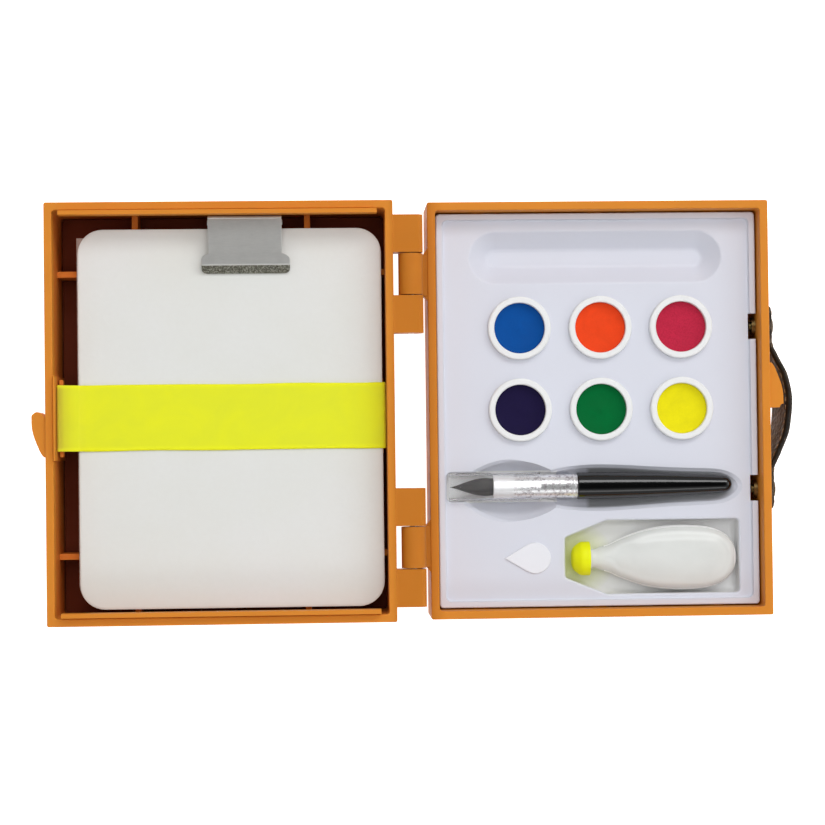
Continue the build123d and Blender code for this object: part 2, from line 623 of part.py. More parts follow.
# ---------------------------------------------------------------- water bottle
# (x, half width, half height) of the body's oval sections
bottle_outer = ((37.7, 1.95, 1.95), (38.9, 2.35, 2.2), (40.3, 2.75, 2.4), (43.1, 4.05, 2.85), (47.8, 5.68, 3.25), (54.5, 6.6, 3.42),
                (60.8, 6.15, 3.3), (64.2, 4.9, 2.85), (66.1, 3.1, 2.0), (67.0, 1.3, 0.95))
with BuildPart() as water_bottle:
    for x, half_w, half_h in bottle_outer:
        with BuildSketch(Plane(origin=(HINGE_X + x, BOTTLE_Y, BOTTLE_Z), x_dir=(0, 1, 0), z_dir=(1, 0, 0))):
            Ellipse(half_w, half_h)
    loft()
    # neck: a wide threaded length inside the cap and a narrower waist outside it
    for x, length, r in ((34.6, 2.1, 2.45), (36.6, 1.2, 1.95)):
        with BuildSketch(Plane(origin=(HINGE_X + x, BOTTLE_Y, BOTTLE_Z), x_dir=(0, 1, 0), z_dir=(1, 0, 0))):
            Circle(r)
        extrude(amount=length)
    for x, half_w, half_h in bottle_outer[2:-1]:
        with BuildSketch(Plane(origin=(HINGE_X + x + 0.3, BOTTLE_Y, BOTTLE_Z), x_dir=(0, 1, 0), z_dir=(1, 0, 0))):
            Ellipse(half_w - 0.8, half_h - 0.8)
    loft(mode=Mode.SUBTRACT)
    with BuildSketch(Plane(origin=(HINGE_X + 34.0, BOTTLE_Y, BOTTLE_Z), x_dir=(0, 1, 0), z_dir=(1, 0, 0))):
        Circle(1.15)
    extrude(amount=7.5, mode=Mode.SUBTRACT)

with BuildPart() as bottle_cap:
    with BuildSketch(lying(BOTTLE_Y, BOTTLE_Z)):
        with BuildLine():
            Line((32.9, 0), (32.9, 0.7))
            Spline((32.9, 0.7), (33.3, 2.25), (34.3, 3.15), (35.5, 3.49), tangents=((0, 1), (1, 0)))
            Polyline((35.5, 3.49), (36.6, 3.49), (36.6, 2.51), (34.4, 2.51), (34.4, 0), (32.9, 0))
        make_face()
    revolve(axis=Axis((HINGE_X, BOTTLE_Y, BOTTLE_Z), (1, 0, 0)))

# --------------------------------------------------------------------- write
for name, built in {
    "left_case_half": left_case_half, "right_case_half": right_case_half,
    "hinge_pin_upper": hinge_pin_upper, "hinge_pin_lower": hinge_pin_lower,
    "handle_strap": handle_strap, "handle_rivets": handle_rivets, "rivet_washers": rivet_washers,
    "pad_backing_board": pad_backing_board, "pad_sheets": pad_sheets,
    "elastic_strap": elastic_strap, "strap_anchor_bars": strap_anchor_bars,
    "clip_rear_plate": clip_rear_plate, "clip_front_jaw": clip_front_jaw, "clip_pin": clip_pin, "clip_spring": clip_spring,
    "paint_tray": paint_tray, "drop_marker": drop_marker,
    "brush_handle": brush_handle, "brush_ferrule": brush_ferrule, "brush_bristles": brush_bristles, "brush_sleeve": brush_sleeve,
    "water_bottle": water_bottle, "bottle_cap": bottle_cap,
}.items():
    save(built.part, name)
for colour, (cup, cake) in pans.items():
    save(cup.part, f"pan_cup_{colour}")
    save(cake.part, f"paint_cake_{colour}")
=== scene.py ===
import bpy
import bmesh
import math
import random
from mathutils import Matrix, Vector


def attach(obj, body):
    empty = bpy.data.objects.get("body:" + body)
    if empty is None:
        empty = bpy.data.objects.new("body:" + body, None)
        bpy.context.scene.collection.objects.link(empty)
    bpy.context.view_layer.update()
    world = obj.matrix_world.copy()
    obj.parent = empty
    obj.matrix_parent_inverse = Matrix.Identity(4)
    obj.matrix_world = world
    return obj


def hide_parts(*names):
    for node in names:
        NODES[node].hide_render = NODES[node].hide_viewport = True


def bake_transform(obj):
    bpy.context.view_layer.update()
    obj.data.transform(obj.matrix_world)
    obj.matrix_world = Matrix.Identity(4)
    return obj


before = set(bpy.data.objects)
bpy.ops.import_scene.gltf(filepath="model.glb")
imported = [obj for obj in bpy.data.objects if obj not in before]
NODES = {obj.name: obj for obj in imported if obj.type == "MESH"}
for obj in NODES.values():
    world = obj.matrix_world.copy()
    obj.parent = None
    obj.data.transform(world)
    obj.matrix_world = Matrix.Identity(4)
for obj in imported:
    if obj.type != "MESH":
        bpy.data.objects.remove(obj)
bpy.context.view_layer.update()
scene = bpy.context.scene

# The sizes below are millimetres counted from the hinge axis, as in the model.
HINGE_X = -1.30
FAR_X = 73.55


def P(x, y, z):
    return Vector(((x + HINGE_X) * 0.001, y * 0.001, z * 0.001))


def srgb(r, g, b):
    """A display colour (0 to 255) as the linear colour that a shader takes."""
    def one(v):
        v /= 255.0
        return v / 12.92 if v <= 0.04045 else ((v + 0.055) / 1.055) ** 2.4
    return (one(r), one(g), one(b))


def smooth(t):
    t = max(0.0, min(1.0, t))
    return t * t * (3 - 2 * t)


def curve_through(points, t):
    """A smooth function through (t, value...) points: cubic Hermite with limited slopes."""
    n = len(points)
    if t <= points[0][0]:
        return points[0][1:]
    if t >= points[-1][0]:
        return points[-1][1:]
    i = max(k for k in range(n - 1) if points[k][0] <= t)
    out = []
    for c in range(1, len(points[0])):
        def slope(k):
            return (points[k + 1][c] - points[k][c]) / (points[k + 1][0] - points[k][0])

        def tangent(k):
            if k == 0:
                return slope(0)
            if k == n - 1:
                return slope(n - 2)
            a, b = slope(k - 1), slope(k)
            return 0.0 if a * b <= 0 else 2 * a * b / (a + b)
        h = points[i + 1][0] - points[i][0]
        u = (t - points[i][0]) / h
        p0, p1 = points[i][c], points[i + 1][c]
        m0, m1 = tangent(i) * h, tangent(i + 1) * h
        out.append((2 * u**3 - 3 * u**2 + 1) * p0 + (u**3 - 2 * u**2 + u) * m0 + (-2 * u**3 + 3 * u**2) * p1 + (u**3 - u**2) * m1)
    return out


# ------------------------------------------------------------------ materials
def new_material(name):
    m = bpy.data.materials.new(name)
    m.use_nodes = True
    tree = m.node_tree
    shader = tree.nodes["Principled BSDF"]
    coord = tree.nodes.new("ShaderNodeTexCoord")
    return m, tree, shader, coord.outputs["Object"]


def noise(tree, vector, scale, detail=3.0, rough=0.55, distortion=0.0, stretch=None):
    if stretch is not None:
        mapping = tree.nodes.new("ShaderNodeMapping")
        mapping.inputs["Scale"].default_value = stretch
        tree.links.new(vector, mapping.inputs["Vector"])
        vector = mapping.outputs["Vector"]
    n = tree.nodes.new("ShaderNodeTexNoise")
    n.inputs["Scale"].default_value = scale
    n.inputs["Detail"].default_value = detail
    n.inputs["Roughness"].default_value = rough
    n.inputs["Distortion"].default_value = distortion
    tree.links.new(vector, n.inputs["Vector"])
    return n.outputs["Fac"]


def ramp(tree, fac, stops):
    r = tree.nodes.new("ShaderNodeValToRGB")
    els = r.color_ramp.elements
    while len(els) < len(stops):
        els.new(0.5)
    for e, (pos, col) in zip(els, stops):
        e.position = pos
        e.color = (*col, 1.0) if len(col) == 3 else col
    tree.links.new(fac, r.inputs["Fac"])
    return r.outputs["Color"]


def remap(tree, fac, low, high, from_low=0.3, from_high=0.7):
    m = tree.nodes.new("ShaderNodeMapRange")
    m.inputs["From Min"].default_value = from_low
    m.inputs["From Max"].default_value = from_high
    m.inputs["To Min"].default_value = low
    m.inputs["To Max"].default_value = high
    tree.links.new(fac, m.inputs["Value"])
    return m.outputs["Result"]


def mix_colour(tree, fac, a, b, mode="MIX"):
    m = tree.nodes.new("ShaderNodeMix")
    m.data_type = "RGBA"
    m.blend_type = mode
    if isinstance(fac, float):
        m.inputs["Factor"].default_value = fac
    else:
        tree.links.new(fac, m.inputs["Factor"])
    for socket, value in ((m.inputs[6], a), (m.inputs[7], b)):
        if isinstance(value, tuple):
            socket.default_value = (*value, 1.0) if len(value) == 3 else value
        else:
            tree.links.new(value, socket)
    return m.outputs[2]


def arith(tree, op, a, b=None, c=None):
    m = tree.nodes.new("ShaderNodeMath")
    m.operation = op
    for i, v in enumerate((a, b, c)):
        if v is None:
            continue
        if isinstance(v, (int, float)):
            m.inputs[i].default_value = v
        else:
            tree.links.new(v, m.inputs[i])
    return m.outputs[0]


def bump(tree, height, strength, distance, normal=None):
    b = tree.nodes.new("ShaderNodeBump")
    b.inputs["Strength"].default_value = strength
    b.inputs["Distance"].default_value = distance
    tree.links.new(height, b.inputs["Height"])
    if normal is not None:
        tree.links.new(normal, b.inputs["Normal"])
    return b.outputs["Normal"]


def scaled(c, f):
    return tuple(min(1.0, max(0.0, v * f)) for v in c)


def moulded(name, colour, rough=0.36, spread=0.03, grain=0.00003, flow=(1, 1, 1), specular=0.5, sss=0.0, sss_radius=(1.0, 0.5, 0.25), coat=0.0):
    """Injection-moulded plastic: faint flow streaks, a fine surface grain and uneven gloss."""
    m, tree, shader, obj = new_material(name)
    broad = noise(tree, obj, 60.0, 3.0, 0.5, 0.6, stretch=flow)
    fine = noise(tree, obj, 2600.0, 2.0, 0.6)
    tone = ramp(tree, broad, [(0.3, scaled(colour, 1 - spread)), (0.52, colour), (0.75, scaled(colour, 1 + spread))])
    tree.links.new(mix_colour(tree, remap(tree, fine, 0.0, 0.05), tone, scaled(colour, 0.86)), shader.inputs["Base Color"])
    tree.links.new(remap(tree, noise(tree, obj, 240.0, 4.0), rough - 0.05, rough + 0.07), shader.inputs["Roughness"])
    tree.links.new(bump(tree, arith(tree, "ADD", fine, arith(tree, "MULTIPLY", broad, 2.0)), 0.35, grain), shader.inputs["Normal"])
    shader.inputs["Specular IOR Level"].default_value = specular
    if sss:
        shader.inputs["Subsurface Weight"].default_value = sss
        shader.inputs["Subsurface Radius"].default_value = sss_radius
        shader.inputs["Subsurface Scale"].default_value = 0.0012
    if coat:
        shader.inputs["Coat Weight"].default_value = coat
        shader.inputs["Coat Roughness"].default_value = 0.12
    return m


def metal(name, colour, rough, brush_scale=(1, 1, 1), scale=900.0, spread=0.10, depth=0.00001, metallic=1.0):
    """Rolled or drawn metal with fine directional marks and small stains."""
    m, tree, shader, obj = new_material(name)
    marks = noise(tree, obj, scale, 4.0, 0.65, 0.0, stretch=brush_scale)
    stain = noise(tree, obj, 420.0, 4.0, 0.6)
    base = ramp(tree, marks, [(0.3, scaled(colour, 1 - spread)), (0.5, colour), (0.7, scaled(colour, 1 + spread))])
    tree.links.new(mix_colour(tree, remap(tree, stain, 0.0, 0.30, 0.45, 0.75), base, scaled(colour, 0.8)), shader.inputs["Base Color"])
    tree.links.new(remap(tree, marks, rough - 0.05, rough + 0.10), shader.inputs["Roughness"])
    tree.links.new(bump(tree, marks, 0.3, depth), shader.inputs["Normal"])
    shader.inputs["Metallic"].default_value = metallic
    return m


def axis_of(tree, letter):
    """One object-space coordinate, in metres."""
    coord = tree.nodes.new("ShaderNodeTexCoord")
    split = tree.nodes.new("ShaderNodeSeparateXYZ")
    tree.links.new(coord.outputs["Object"], split.inputs[0])
    return split.outputs[letter]


def axis_vector(tree):
    return tree.nodes.new("ShaderNodeTexCoord").outputs["Object"]


def retint(material, factor_colour, mode="MULTIPLY", amount=1.0):
    """Lay one more colour over a finished material's base colour."""
    tree = material.node_tree
    socket = tree.nodes["Principled BSDF"].inputs["Base Color"]
    before = socket.links[0].from_socket
    tree.links.new(mix_colour(tree, amount, before, factor_colour, mode), socket)


def bands_along_x(tree, stops):
    """A colour that changes along X; stops are (mm from the hinge axis, colour)."""
    place = remap(tree, axis_of(tree, "X"), 0.0, 1.0, -0.08, 0.08)
    return ramp(tree, place, [((x + HINGE_X + 80.0) / 160.0, c) for x, c in stops])


def spot(tree, centre, reach, power=1.5):
    """1 at a place on the object, falling to 0 at the given reach (mm in X, Y and Z)."""
    coord = tree.nodes.new("ShaderNodeTexCoord")
    mapping = tree.nodes.new("ShaderNodeMapping")
    c = P(*centre)
    mapping.inputs["Scale"].default_value = tuple(1000.0 / r for r in reach)
    mapping.inputs["Location"].default_value = tuple(-c[i] * 1000.0 / reach[i] for i in range(3))
    tree.links.new(coord.outputs["Object"], mapping.inputs["Vector"])
    length = tree.nodes.new("ShaderNodeVectorMath")
    length.operation = "LENGTH"
    tree.links.new(mapping.outputs["Vector"], length.inputs[0])
    return arith(tree, "POWER", arith(tree, "MAXIMUM", arith(tree, "SUBTRACT", 1.0, length.outputs["Value"]), 0.0), power)


def inside(tree, low, high, soft=0.15):
    """1 inside a box given by two corners in mm, 0 outside it."""
    out = None
    a, b = P(*low), P(*high)
    for i, letter in enumerate("XYZ"):
        v = axis_of(tree, letter)
        rise = remap(tree, v, 0.0, 1.0, a[i] - soft * 0.001, a[i])
        drop = remap(tree, v, 1.0, 0.0, b[i], b[i] + soft * 0.001)
        both = arith(tree, "MINIMUM", rise, drop)
        out = both if out is None else arith(tree, "MINIMUM", out, both)
    return out


case_plastic = moulded("case_plastic", srgb(217, 137, 50), rough=0.46, spread=0.035, grain=0.00003, flow=(1.0, 1.6, 1.0), specular=0.10, sss=0.10, sss_radius=(1.0, 0.38, 0.10))
# painted shade: the case's colour is darkened in bands along X over the hinge's ears, knuckles and necks, standing in
# for the shade on these thick sections
retint(case_plastic, bands_along_x(case_plastic.node_tree, [
    (-4.6, (1.0, 1.0, 1.0)), (-3.4, (0.80, 0.73, 0.62)), (2.3, (0.80, 0.74, 0.62)), (2.8, (0.62, 0.55, 0.48)),
    (3.5, (0.64, 0.57, 0.48)), (3.9, (0.80, 0.75, 0.68)), (6.5, (1.0, 1.0, 1.0))]))
# painted shade: deep in the lid the walls are painted a redder shade, and its floor is painted much darker
retint(case_plastic, mix_colour(case_plastic.node_tree, inside(case_plastic.node_tree, (-72.2, -41.1, 1.0), (-4.9, 41.1, 17.2)), (1.0, 1.0, 1.0), (1.0, 0.80, 1.0)))
# painted shade mask: the lowest few millimetres inside the lid
lid_floor_shade_ramp = remap(case_plastic.node_tree, axis_of(case_plastic.node_tree, "Z"), 1.0, 0.0, 0.0024, 0.0056)
lid_floor_shade_box = inside(case_plastic.node_tree, (-72.2, -41.1, 1.0), (-4.9, 41.1, 17.2))
retint(case_plastic, mix_colour(case_plastic.node_tree, arith(case_plastic.node_tree, "MINIMUM", lid_floor_shade_ramp, lid_floor_shade_box), (1.0, 1.0, 1.0), (0.22, 0.13, 0.29)))
tray_plastic = moulded("tray_plastic", srgb(217, 219, 229), rough=0.36, spread=0.008, grain=0.000008, specular=0.4, sss=0.10, sss_radius=(1.0, 1.0, 1.0))
tree = tray_plastic.node_tree
# painted light: the bottle's well, with its thin walls, is painted lighter; painted shadow: the long groove's foot, in
# its own shade beside the brush, is painted darker
retint(tray_plastic, srgb(240, 240, 240), "MIX", inside(tree, (29.0, -39.6, 4.0), (69.0, -21.6, 9.95), 0.3))
retint(tray_plastic, mix_colour(tree, inside(tree, (37.0, -20.4, 6.0), (66.0, -12.2, 9.00), 1.0), (1.0, 1.0, 1.0), (0.50, 0.50, 0.48)))
# painted light: the snug slot under the clear sleeve is painted near white
retint(tray_plastic, srgb(252, 252, 252), "MIX", inside(tree, (7.0, -18.9, 6.0), (30.0, -12.6, 10.00), 0.2))
# painted reflection: yellow light thrown into the bottle's well by the bright cap
retint(tray_plastic, mix_colour(tree, spot(tree, (33.5, -31.2, 4.5), (9.0, 8.0, 6.5), 0.8), (1.0, 1.0, 1.0), (0.72, 0.78, 0.30)))
pan_plastic = moulded("pan_plastic", srgb(235, 236, 236), rough=0.30, spread=0.006, grain=0.000006, specular=0.4, sss=0.12, sss_radius=(1.0, 1.0, 1.0))
marker_plastic = moulded("marker_plastic", srgb(236, 237, 243), rough=0.42, spread=0.006, grain=0.00001, specular=0.3, sss=0.1, sss_radius=(1.0, 1.0, 1.0))
cap_plastic = moulded("cap_plastic", srgb(238, 242, 12), rough=0.45, spread=0.015, grain=0.00001, specular=0.2, sss=0.2, sss_radius=(1.0, 1.0, 0.2))

pin_steel = metal("pin_steel", (0.56, 0.57, 0.58), 0.25, (1, 20, 1))
spring_steel = metal("spring_steel", (0.45, 0.45, 0.44), 0.35, (12, 1, 1))
rivet_brass = metal("rivet_brass", (0.42, 0.33, 0.14), 0.36, (1, 1, 1), spread=0.2)
# the heads outside the handle are darkened bronze
retint(rivet_brass, bands_along_x(rivet_brass.node_tree, [(74.6, (1.0, 1.0, 1.0)), (75.0, (0.22, 0.20, 0.24))]))
clip_steel = metal("clip_steel", (0.68, 0.68, 0.655), 0.42, (1, 12, 1), scale=700.0, spread=0.05, depth=0.000012, metallic=0.75)
ferrule_chrome = metal("ferrule_chrome", (0.96, 0.96, 0.97), 0.30, (1, 1, 1), scale=900.0, spread=0.05, depth=0.00006, metallic=0.82)
retint(ferrule_chrome, mix_colour(ferrule_chrome.node_tree, remap(ferrule_chrome.node_tree, noise(ferrule_chrome.node_tree, axis_vector(ferrule_chrome.node_tree), 900.0, 4.0, 0.7), 0.0, 1.0, 0.50, 0.60), (1.0, 1.0, 1.0), (0.55, 0.52, 0.54)))
mouth_metal = metal("ferrule_mouth_satin", (0.93, 0.93, 0.94), 0.42, (1, 1, 1), scale=700.0, spread=0.04, depth=0.00003, metallic=0.45)

# paper: soft fibre mottling
paper, tree, shader, obj = new_material("watercolor_paper")
felt = noise(tree, obj, 900.0, 5.0, 0.65, 0.3)
cloud = noise(tree, obj, 45.0, 3.0)
tint = ramp(tree, cloud, [(0.3, srgb(224, 225, 220)), (0.7, srgb(227, 228, 226))])
tree.links.new(mix_colour(tree, remap(tree, felt, 0.0, 0.12), tint, srgb(214, 212, 207)), shader.inputs["Base Color"])
tree.links.new(bump(tree, felt, 0.5, 0.00006), shader.inputs["Normal"])
tree.links.new(remap(tree, felt, 0.80, 0.92), shader.inputs["Roughness"])
shader.inputs["Specular IOR Level"].default_value = 0.25

# backing board: grey-pink pulp with fibres
board, tree, shader, obj = new_material("backing_board")
pulp = noise(tree, obj, 700.0, 5.0, 0.7, 1.2)
flecks = noise(tree, obj, 2200.0, 2.0, 0.6)
tint = ramp(tree, pulp, [(0.3, srgb(172, 152, 146)), (0.7, srgb(204, 188, 181))])
tree.links.new(mix_colour(tree, remap(tree, flecks, 0.0, 0.5, 0.62, 0.75), tint, srgb(120, 104, 98)), shader.inputs["Base Color"])
tree.links.new(bump(tree, pulp, 0.6, 0.00008), shader.inputs["Normal"])
shader.inputs["Roughness"].default_value = 0.9

# elastic: fine knitted ribs along the band, cross threads, brighter edges
elastic, tree, shader, obj = new_material("strap_elastic")
split = tree.nodes.new("ShaderNodeSeparateXYZ")
tree.links.new(obj, split.inputs[0])
ribs = arith(tree, "SINE", arith(tree, "MULTIPLY", split.outputs["Y"], 2 * math.pi / 0.00046))
weft = arith(tree, "SINE", arith(tree, "MULTIPLY", split.outputs["X"], 2 * math.pi / 0.00062))
weave = arith(tree, "MULTIPLY", ribs, weft)
mottle = noise(tree, obj, 110.0, 4.0, 0.6, 0.8)
tint = ramp(tree, mottle, [(0.28, srgb(225, 230, 40)), (0.55, srgb(230, 234, 37)), (0.78, srgb(234, 237, 34))])
edge = arith(tree, "ABSOLUTE", arith(tree, "ADD", split.outputs["Y"], 0.0008))
bright = remap(tree, edge, 0.0, 0.85, 0.0056, 0.0064)
tint = mix_colour(tree, bright, tint, srgb(241, 243, 14))
tint = mix_colour(tree, remap(tree, weave, 0.0, 0.07, -1.0, 1.0), tint, srgb(206, 212, 24))
# painted shade: where the band leaves the pad and bends down to the wall, it is painted darker and more orange, its
# edges less so
left_end_shade = bands_along_x(tree, [(-71.3, (1.0, 1.0, 1.0)), (-70.7, (0.85, 0.85, 0.85)), (-69.9, (0.38, 0.38, 0.38)), (-68.4, (0.12, 0.12, 0.12)), (-65.5, (0.0, 0.0, 0.0))])
left_end_shade = arith(tree, "MULTIPLY", left_end_shade, remap(tree, edge, 1.0, 0.25, 0.0058, 0.0066))
tree.links.new(mix_colour(tree, left_end_shade, tint, srgb(190, 172, 46)), shader.inputs["Base Color"])
tree.links.new(bump(tree, arith(tree, "ADD", weave, arith(tree, "MULTIPLY", mottle, 0.4)), 0.3, 0.00003), shader.inputs["Normal"])
tree.links.new(remap(tree, mottle, 0.58, 0.74), shader.inputs["Roughness"])
shader.inputs["Sheen Weight"].default_value = 0.15
shader.inputs["Sheen Roughness"].default_value = 0.5
shader.inputs["Specular IOR Level"].default_value = 0.25

# leather: pebbled black face with brown rub marks; cut edge in tan fibres
leather, tree, shader, obj = new_material("handle_leather")
cells = tree.nodes.new("ShaderNodeTexVoronoi")
cells.feature = "SMOOTH_F1"
cells.inputs["Scale"].default_value = 1500.0
tree.links.new(obj, cells.inputs["Vector"])
wear = noise(tree, obj, 260.0, 5.0, 0.65)
tint = ramp(tree, wear, [(0.44, srgb(9, 11, 9)), (0.58, srgb(20, 21, 17)), (0.68, srgb(120, 116, 100))])
tree.links.new(mix_colour(tree, remap(tree, cells.outputs["Distance"], 0.0, 0.6, 0.2, 0.7), tint, srgb(13, 12, 10)), shader.inputs["Base Color"])
tree.links.new(bump(tree, arith(tree, "SUBTRACT", wear, cells.outputs["Distance"]), 0.9, 0.00014), shader.inputs["Normal"])
tree.links.new(remap(tree, wear, 0.34, 0.55), shader.inputs["Roughness"])

leather_edge, tree, shader, obj = new_material("leather_cut_edge")
fibre = noise(tree, obj, 1400.0, 5.0, 0.7, 0.5, stretch=(1.0, 0.4, 1.0))
tint = ramp(tree, fibre, [(0.38, srgb(24, 21, 16)), (0.54, srgb(58, 48, 38)), (0.72, srgb(126, 110, 90))])
tree.links.new(tint, shader.inputs["Base Color"])
tree.links.new(bump(tree, fibre, 0.9, 0.0001), shader.inputs["Normal"])
shader.inputs["Roughness"].default_value = 0.8

thread, tree, shader, obj = new_material("strap_thread")
twist = noise(tree, obj, 3800.0, 3.0)
tree.links.new(ramp(tree, twist, [(0.3, srgb(120, 92, 66)), (0.7, srgb(186, 156, 122))]), shader.inputs["Base Color"])
tree.links.new(bump(tree, twist, 0.6, 0.00004), shader.inputs["Normal"])
shader.inputs["Roughness"].default_value = 0.75

# black lacquer over wood, with faint lengthwise waviness
lacquer, tree, shader, obj = new_material("brush_lacquer")
drawn = noise(tree, obj, 220.0, 4.0, 0.6, 0.0, stretch=(0.12, 1.0, 1.0))
tree.links.new(ramp(tree, drawn, [(0.3, (0.001, 0.001, 0.001)), (0.7, (0.002, 0.002, 0.002))]), shader.inputs["Base Color"])
tree.links.new(remap(tree, drawn, 0.09, 0.17), shader.inputs["Roughness"])
tree.links.new(bump(tree, drawn, 0.5, 0.00004), shader.inputs["Normal"])
shader.inputs["Specular IOR Level"].default_value = 0.65

# hair
hair, tree, shader, obj = new_material("bristle_hair")
strand = noise(tree, obj, 1500.0, 3.0, 0.6, 0.0, stretch=(0.05, 1.0, 1.0))
split = tree.nodes.new("ShaderNodeSeparateXYZ")
tree.links.new(obj, split.inputs[0])
along = remap(tree, split.outputs["X"], 0.0, 1.0, 0.0068, 0.0135)
body = ramp(tree, strand, [(0.30, srgb(12, 8, 7)), (0.52, srgb(30, 21, 18)), (0.74, srgb(74, 58, 52))])
tree.links.new(mix_colour(tree, along, ramp(tree, strand, [(0.3, srgb(10, 9, 8)), (0.7, srgb(44, 38, 35))]), body), shader.inputs["Base Color"])
tree.links.new(remap(tree, strand, 0.35, 0.6), shader.inputs["Roughness"])

# clear sleeve
clear, tree, shader, obj = new_material("sleeve_clear")
haze = noise(tree, obj, 320.0, 3.0, 0.5, 0.0, stretch=(0.3, 1.0, 1.0))
tree.links.new(ramp(tree, haze, [(0.3, (0.985, 0.988, 0.992)), (0.7, (1.0, 1.0, 1.0))]), shader.inputs["Base Color"])
tree.links.new(remap(tree, haze, 0.05, 0.14), shader.inputs["Roughness"])
tree.links.new(bump(tree, haze, 0.3, 0.00002), shader.inputs["Normal"])
shader.inputs["Transmission Weight"].default_value = 0.965
shader.inputs["IOR"].default_value = 1.12

# milky bottle
milky, tree, shader, obj = new_material("bottle_translucent")
swirl = noise(tree, obj, 90.0, 4.0, 0.55, 1.0)
fine = noise(tree, obj, 1500.0, 2.0)
tree.links.new(ramp(tree, swirl, [(0.3, srgb(218, 220, 217)), (0.7, srgb(225, 227, 224))]), shader.inputs["Base Color"])
tree.links.new(remap(tree, swirl, 0.16, 0.24), shader.inputs["Roughness"])
tree.links.new(bump(tree, arith(tree, "ADD", arith(tree, "MULTIPLY", swirl, 3.0), fine), 0.25, 0.00002), shader.inputs["Normal"])
shader.inputs["IOR"].default_value = 1.45
shader.inputs["Subsurface Weight"].default_value = 0.35
shader.inputs["Subsurface Radius"].default_value = (1.0, 1.0, 1.0)
shader.inputs["Subsurface Scale"].default_value = 0.002


# the moulding seam round the bottle; its whiter colour on the band along the outline is a painted highlight
seam_highlight, tree, shader, obj = new_material("bottle_seam_highlight")
tree.links.new(ramp(tree, noise(tree, obj, 600.0, 3.0), [(0.3, srgb(252, 252, 250)), (0.7, srgb(255, 255, 254))]), shader.inputs["Base Color"])
shader.inputs["Roughness"].default_value = 0.4
shader.inputs["Subsurface Weight"].default_value = 0.5
shader.inputs["Subsurface Radius"].default_value = (1.0, 1.0, 1.0)
shader.inputs["Subsurface Scale"].default_value = 0.001


def paint(name, colour, grain=1.0, deep=0.86):
    """A pressed cake of paint: fine powder grain, faint brushed mottling, a soft satin skin."""
    m, tree, shader, obj = new_material(name)
    powder = noise(tree, obj, 3000.0, 3.0, 0.7)
    patch = noise(tree, obj, 300.0, 4.0, 0.6, 0.7)
    tint = ramp(tree, patch, [(0.3, scaled(colour, 0.94)), (0.7, scaled(colour, 1.05))])
    tree.links.new(mix_colour(tree, remap(tree, powder, 0.0, 0.35 * grain, 0.42, 0.72), tint, scaled(colour, deep)), shader.inputs["Base Color"])
    tree.links.new(bump(tree, arith(tree, "ADD", powder, arith(tree, "MULTIPLY", patch, 2.0)), 0.55, 0.00003 * grain), shader.inputs["Normal"])
    tree.links.new(remap(tree, patch, 0.55, 0.72), shader.inputs["Roughness"])
    shader.inputs["Specular IOR Level"].default_value = 0.06
    return m


def cake_rim_shade(material, centre):
    """Painted shade: the paint's outer edge is darkened where it lies in the cup's shade."""
    tree = material.node_tree
    mask = spot(tree, (centre[0], centre[1], centre[2]), (5.35, 5.35, 60.0), 1.0)
    retint(material, mix_colour(tree, remap(tree, mask, 0.0, 1.0, 0.0, 0.075), (0.55, 0.52, 0.55), (1.0, 1.0, 1.0)))


PAINTS = {
    "blue": paint("paint_blue", srgb(12, 78, 154)),
    "orange": paint("paint_orange", srgb(235, 72, 30)),
    "crimson": paint("paint_crimson", srgb(192, 42, 70), grain=2.2, deep=0.72),
    "violet": paint("paint_violet", srgb(30, 23, 60)),
    "green": paint("paint_green", srgb(0, 104, 50)),
    "yellow": paint("paint_yellow", srgb(234, 223, 22)),
}


for i, colour in enumerate(("blue", "orange", "crimson", "violet", "green", "yellow")):
    cake_rim_shade(PAINTS[colour], ((22.55, 39.25, 55.95)[i % 3], (16.85, 0.0)[i // 3], 10.0))


def dress(node, material):
    o = NODES[node]
    if not o.data.materials:
        o.data.materials.append(material)
    for i in range(len(o.material_slots)):
        o.material_slots[i].link = "OBJECT"
        o.material_slots[i].material = material


for n in ("left_case_half", "right_case_half"):
    dress(n, case_plastic)
for n in ("hinge_pin_upper", "hinge_pin_lower"):
    dress(n, pin_steel)
for n in ("handle_rivets", "rivet_washers"):
    dress(n, rivet_brass)
dress("pad_backing_board", board)
dress("strap_anchor_bars", case_plastic)
for n in ("clip_rear_plate", "clip_pin"):
    dress(n, clip_steel)
dress("clip_spring", spring_steel)
dress("paint_tray", tray_plastic)
dress("drop_marker", marker_plastic)
dress("brush_handle", lacquer)
dress("brush_ferrule", ferrule_chrome)
dress("brush_sleeve", clear)
dress("bottle_cap", cap_plastic)
for colour, m in PAINTS.items():
    dress(f"pan_cup_{colour}", pan_plastic)
    dress(f"paint_cake_{colour}", m)


# ------------------------------------------------------------------ mesh tools
def make(name, verts, faces, materials, smooth_faces=True, face_material=None):
    mesh = bpy.data.meshes.new(name)
    mesh.from_pydata([tuple(v) for v in verts], [], faces)
    mesh.validate()
    bm = bmesh.new()
    bm.from_mesh(mesh)
    bmesh.ops.remove_doubles(bm, verts=bm.verts, dist=1e-8)
    bmesh.ops.recalc_face_normals(bm, faces=bm.faces)
    bm.to_mesh(mesh)
    bm.free()
    for m in materials:
        mesh.materials.append(m)
    for p in mesh.polygons:
        p.use_smooth = smooth_faces
    if face_material is not None:
        for p in mesh.polygons:
            p.material_index = face_material(p.center, p.normal)
    o = bpy.data.objects.new(name, mesh)
    scene.collection.objects.link(o)
    return o


def creased(o, degrees=35):
    """Smooth shading that breaks at real corners."""
    bm = bmesh.new()
    bm.from_mesh(o.data)
    limit = math.radians(degrees)
    for e in bm.edges:
        if len(e.link_faces) == 2 and e.calc_face_angle(0.0) > limit:
            e.smooth = False
    bm.to_mesh(o.data)
    bm.free()
    return o


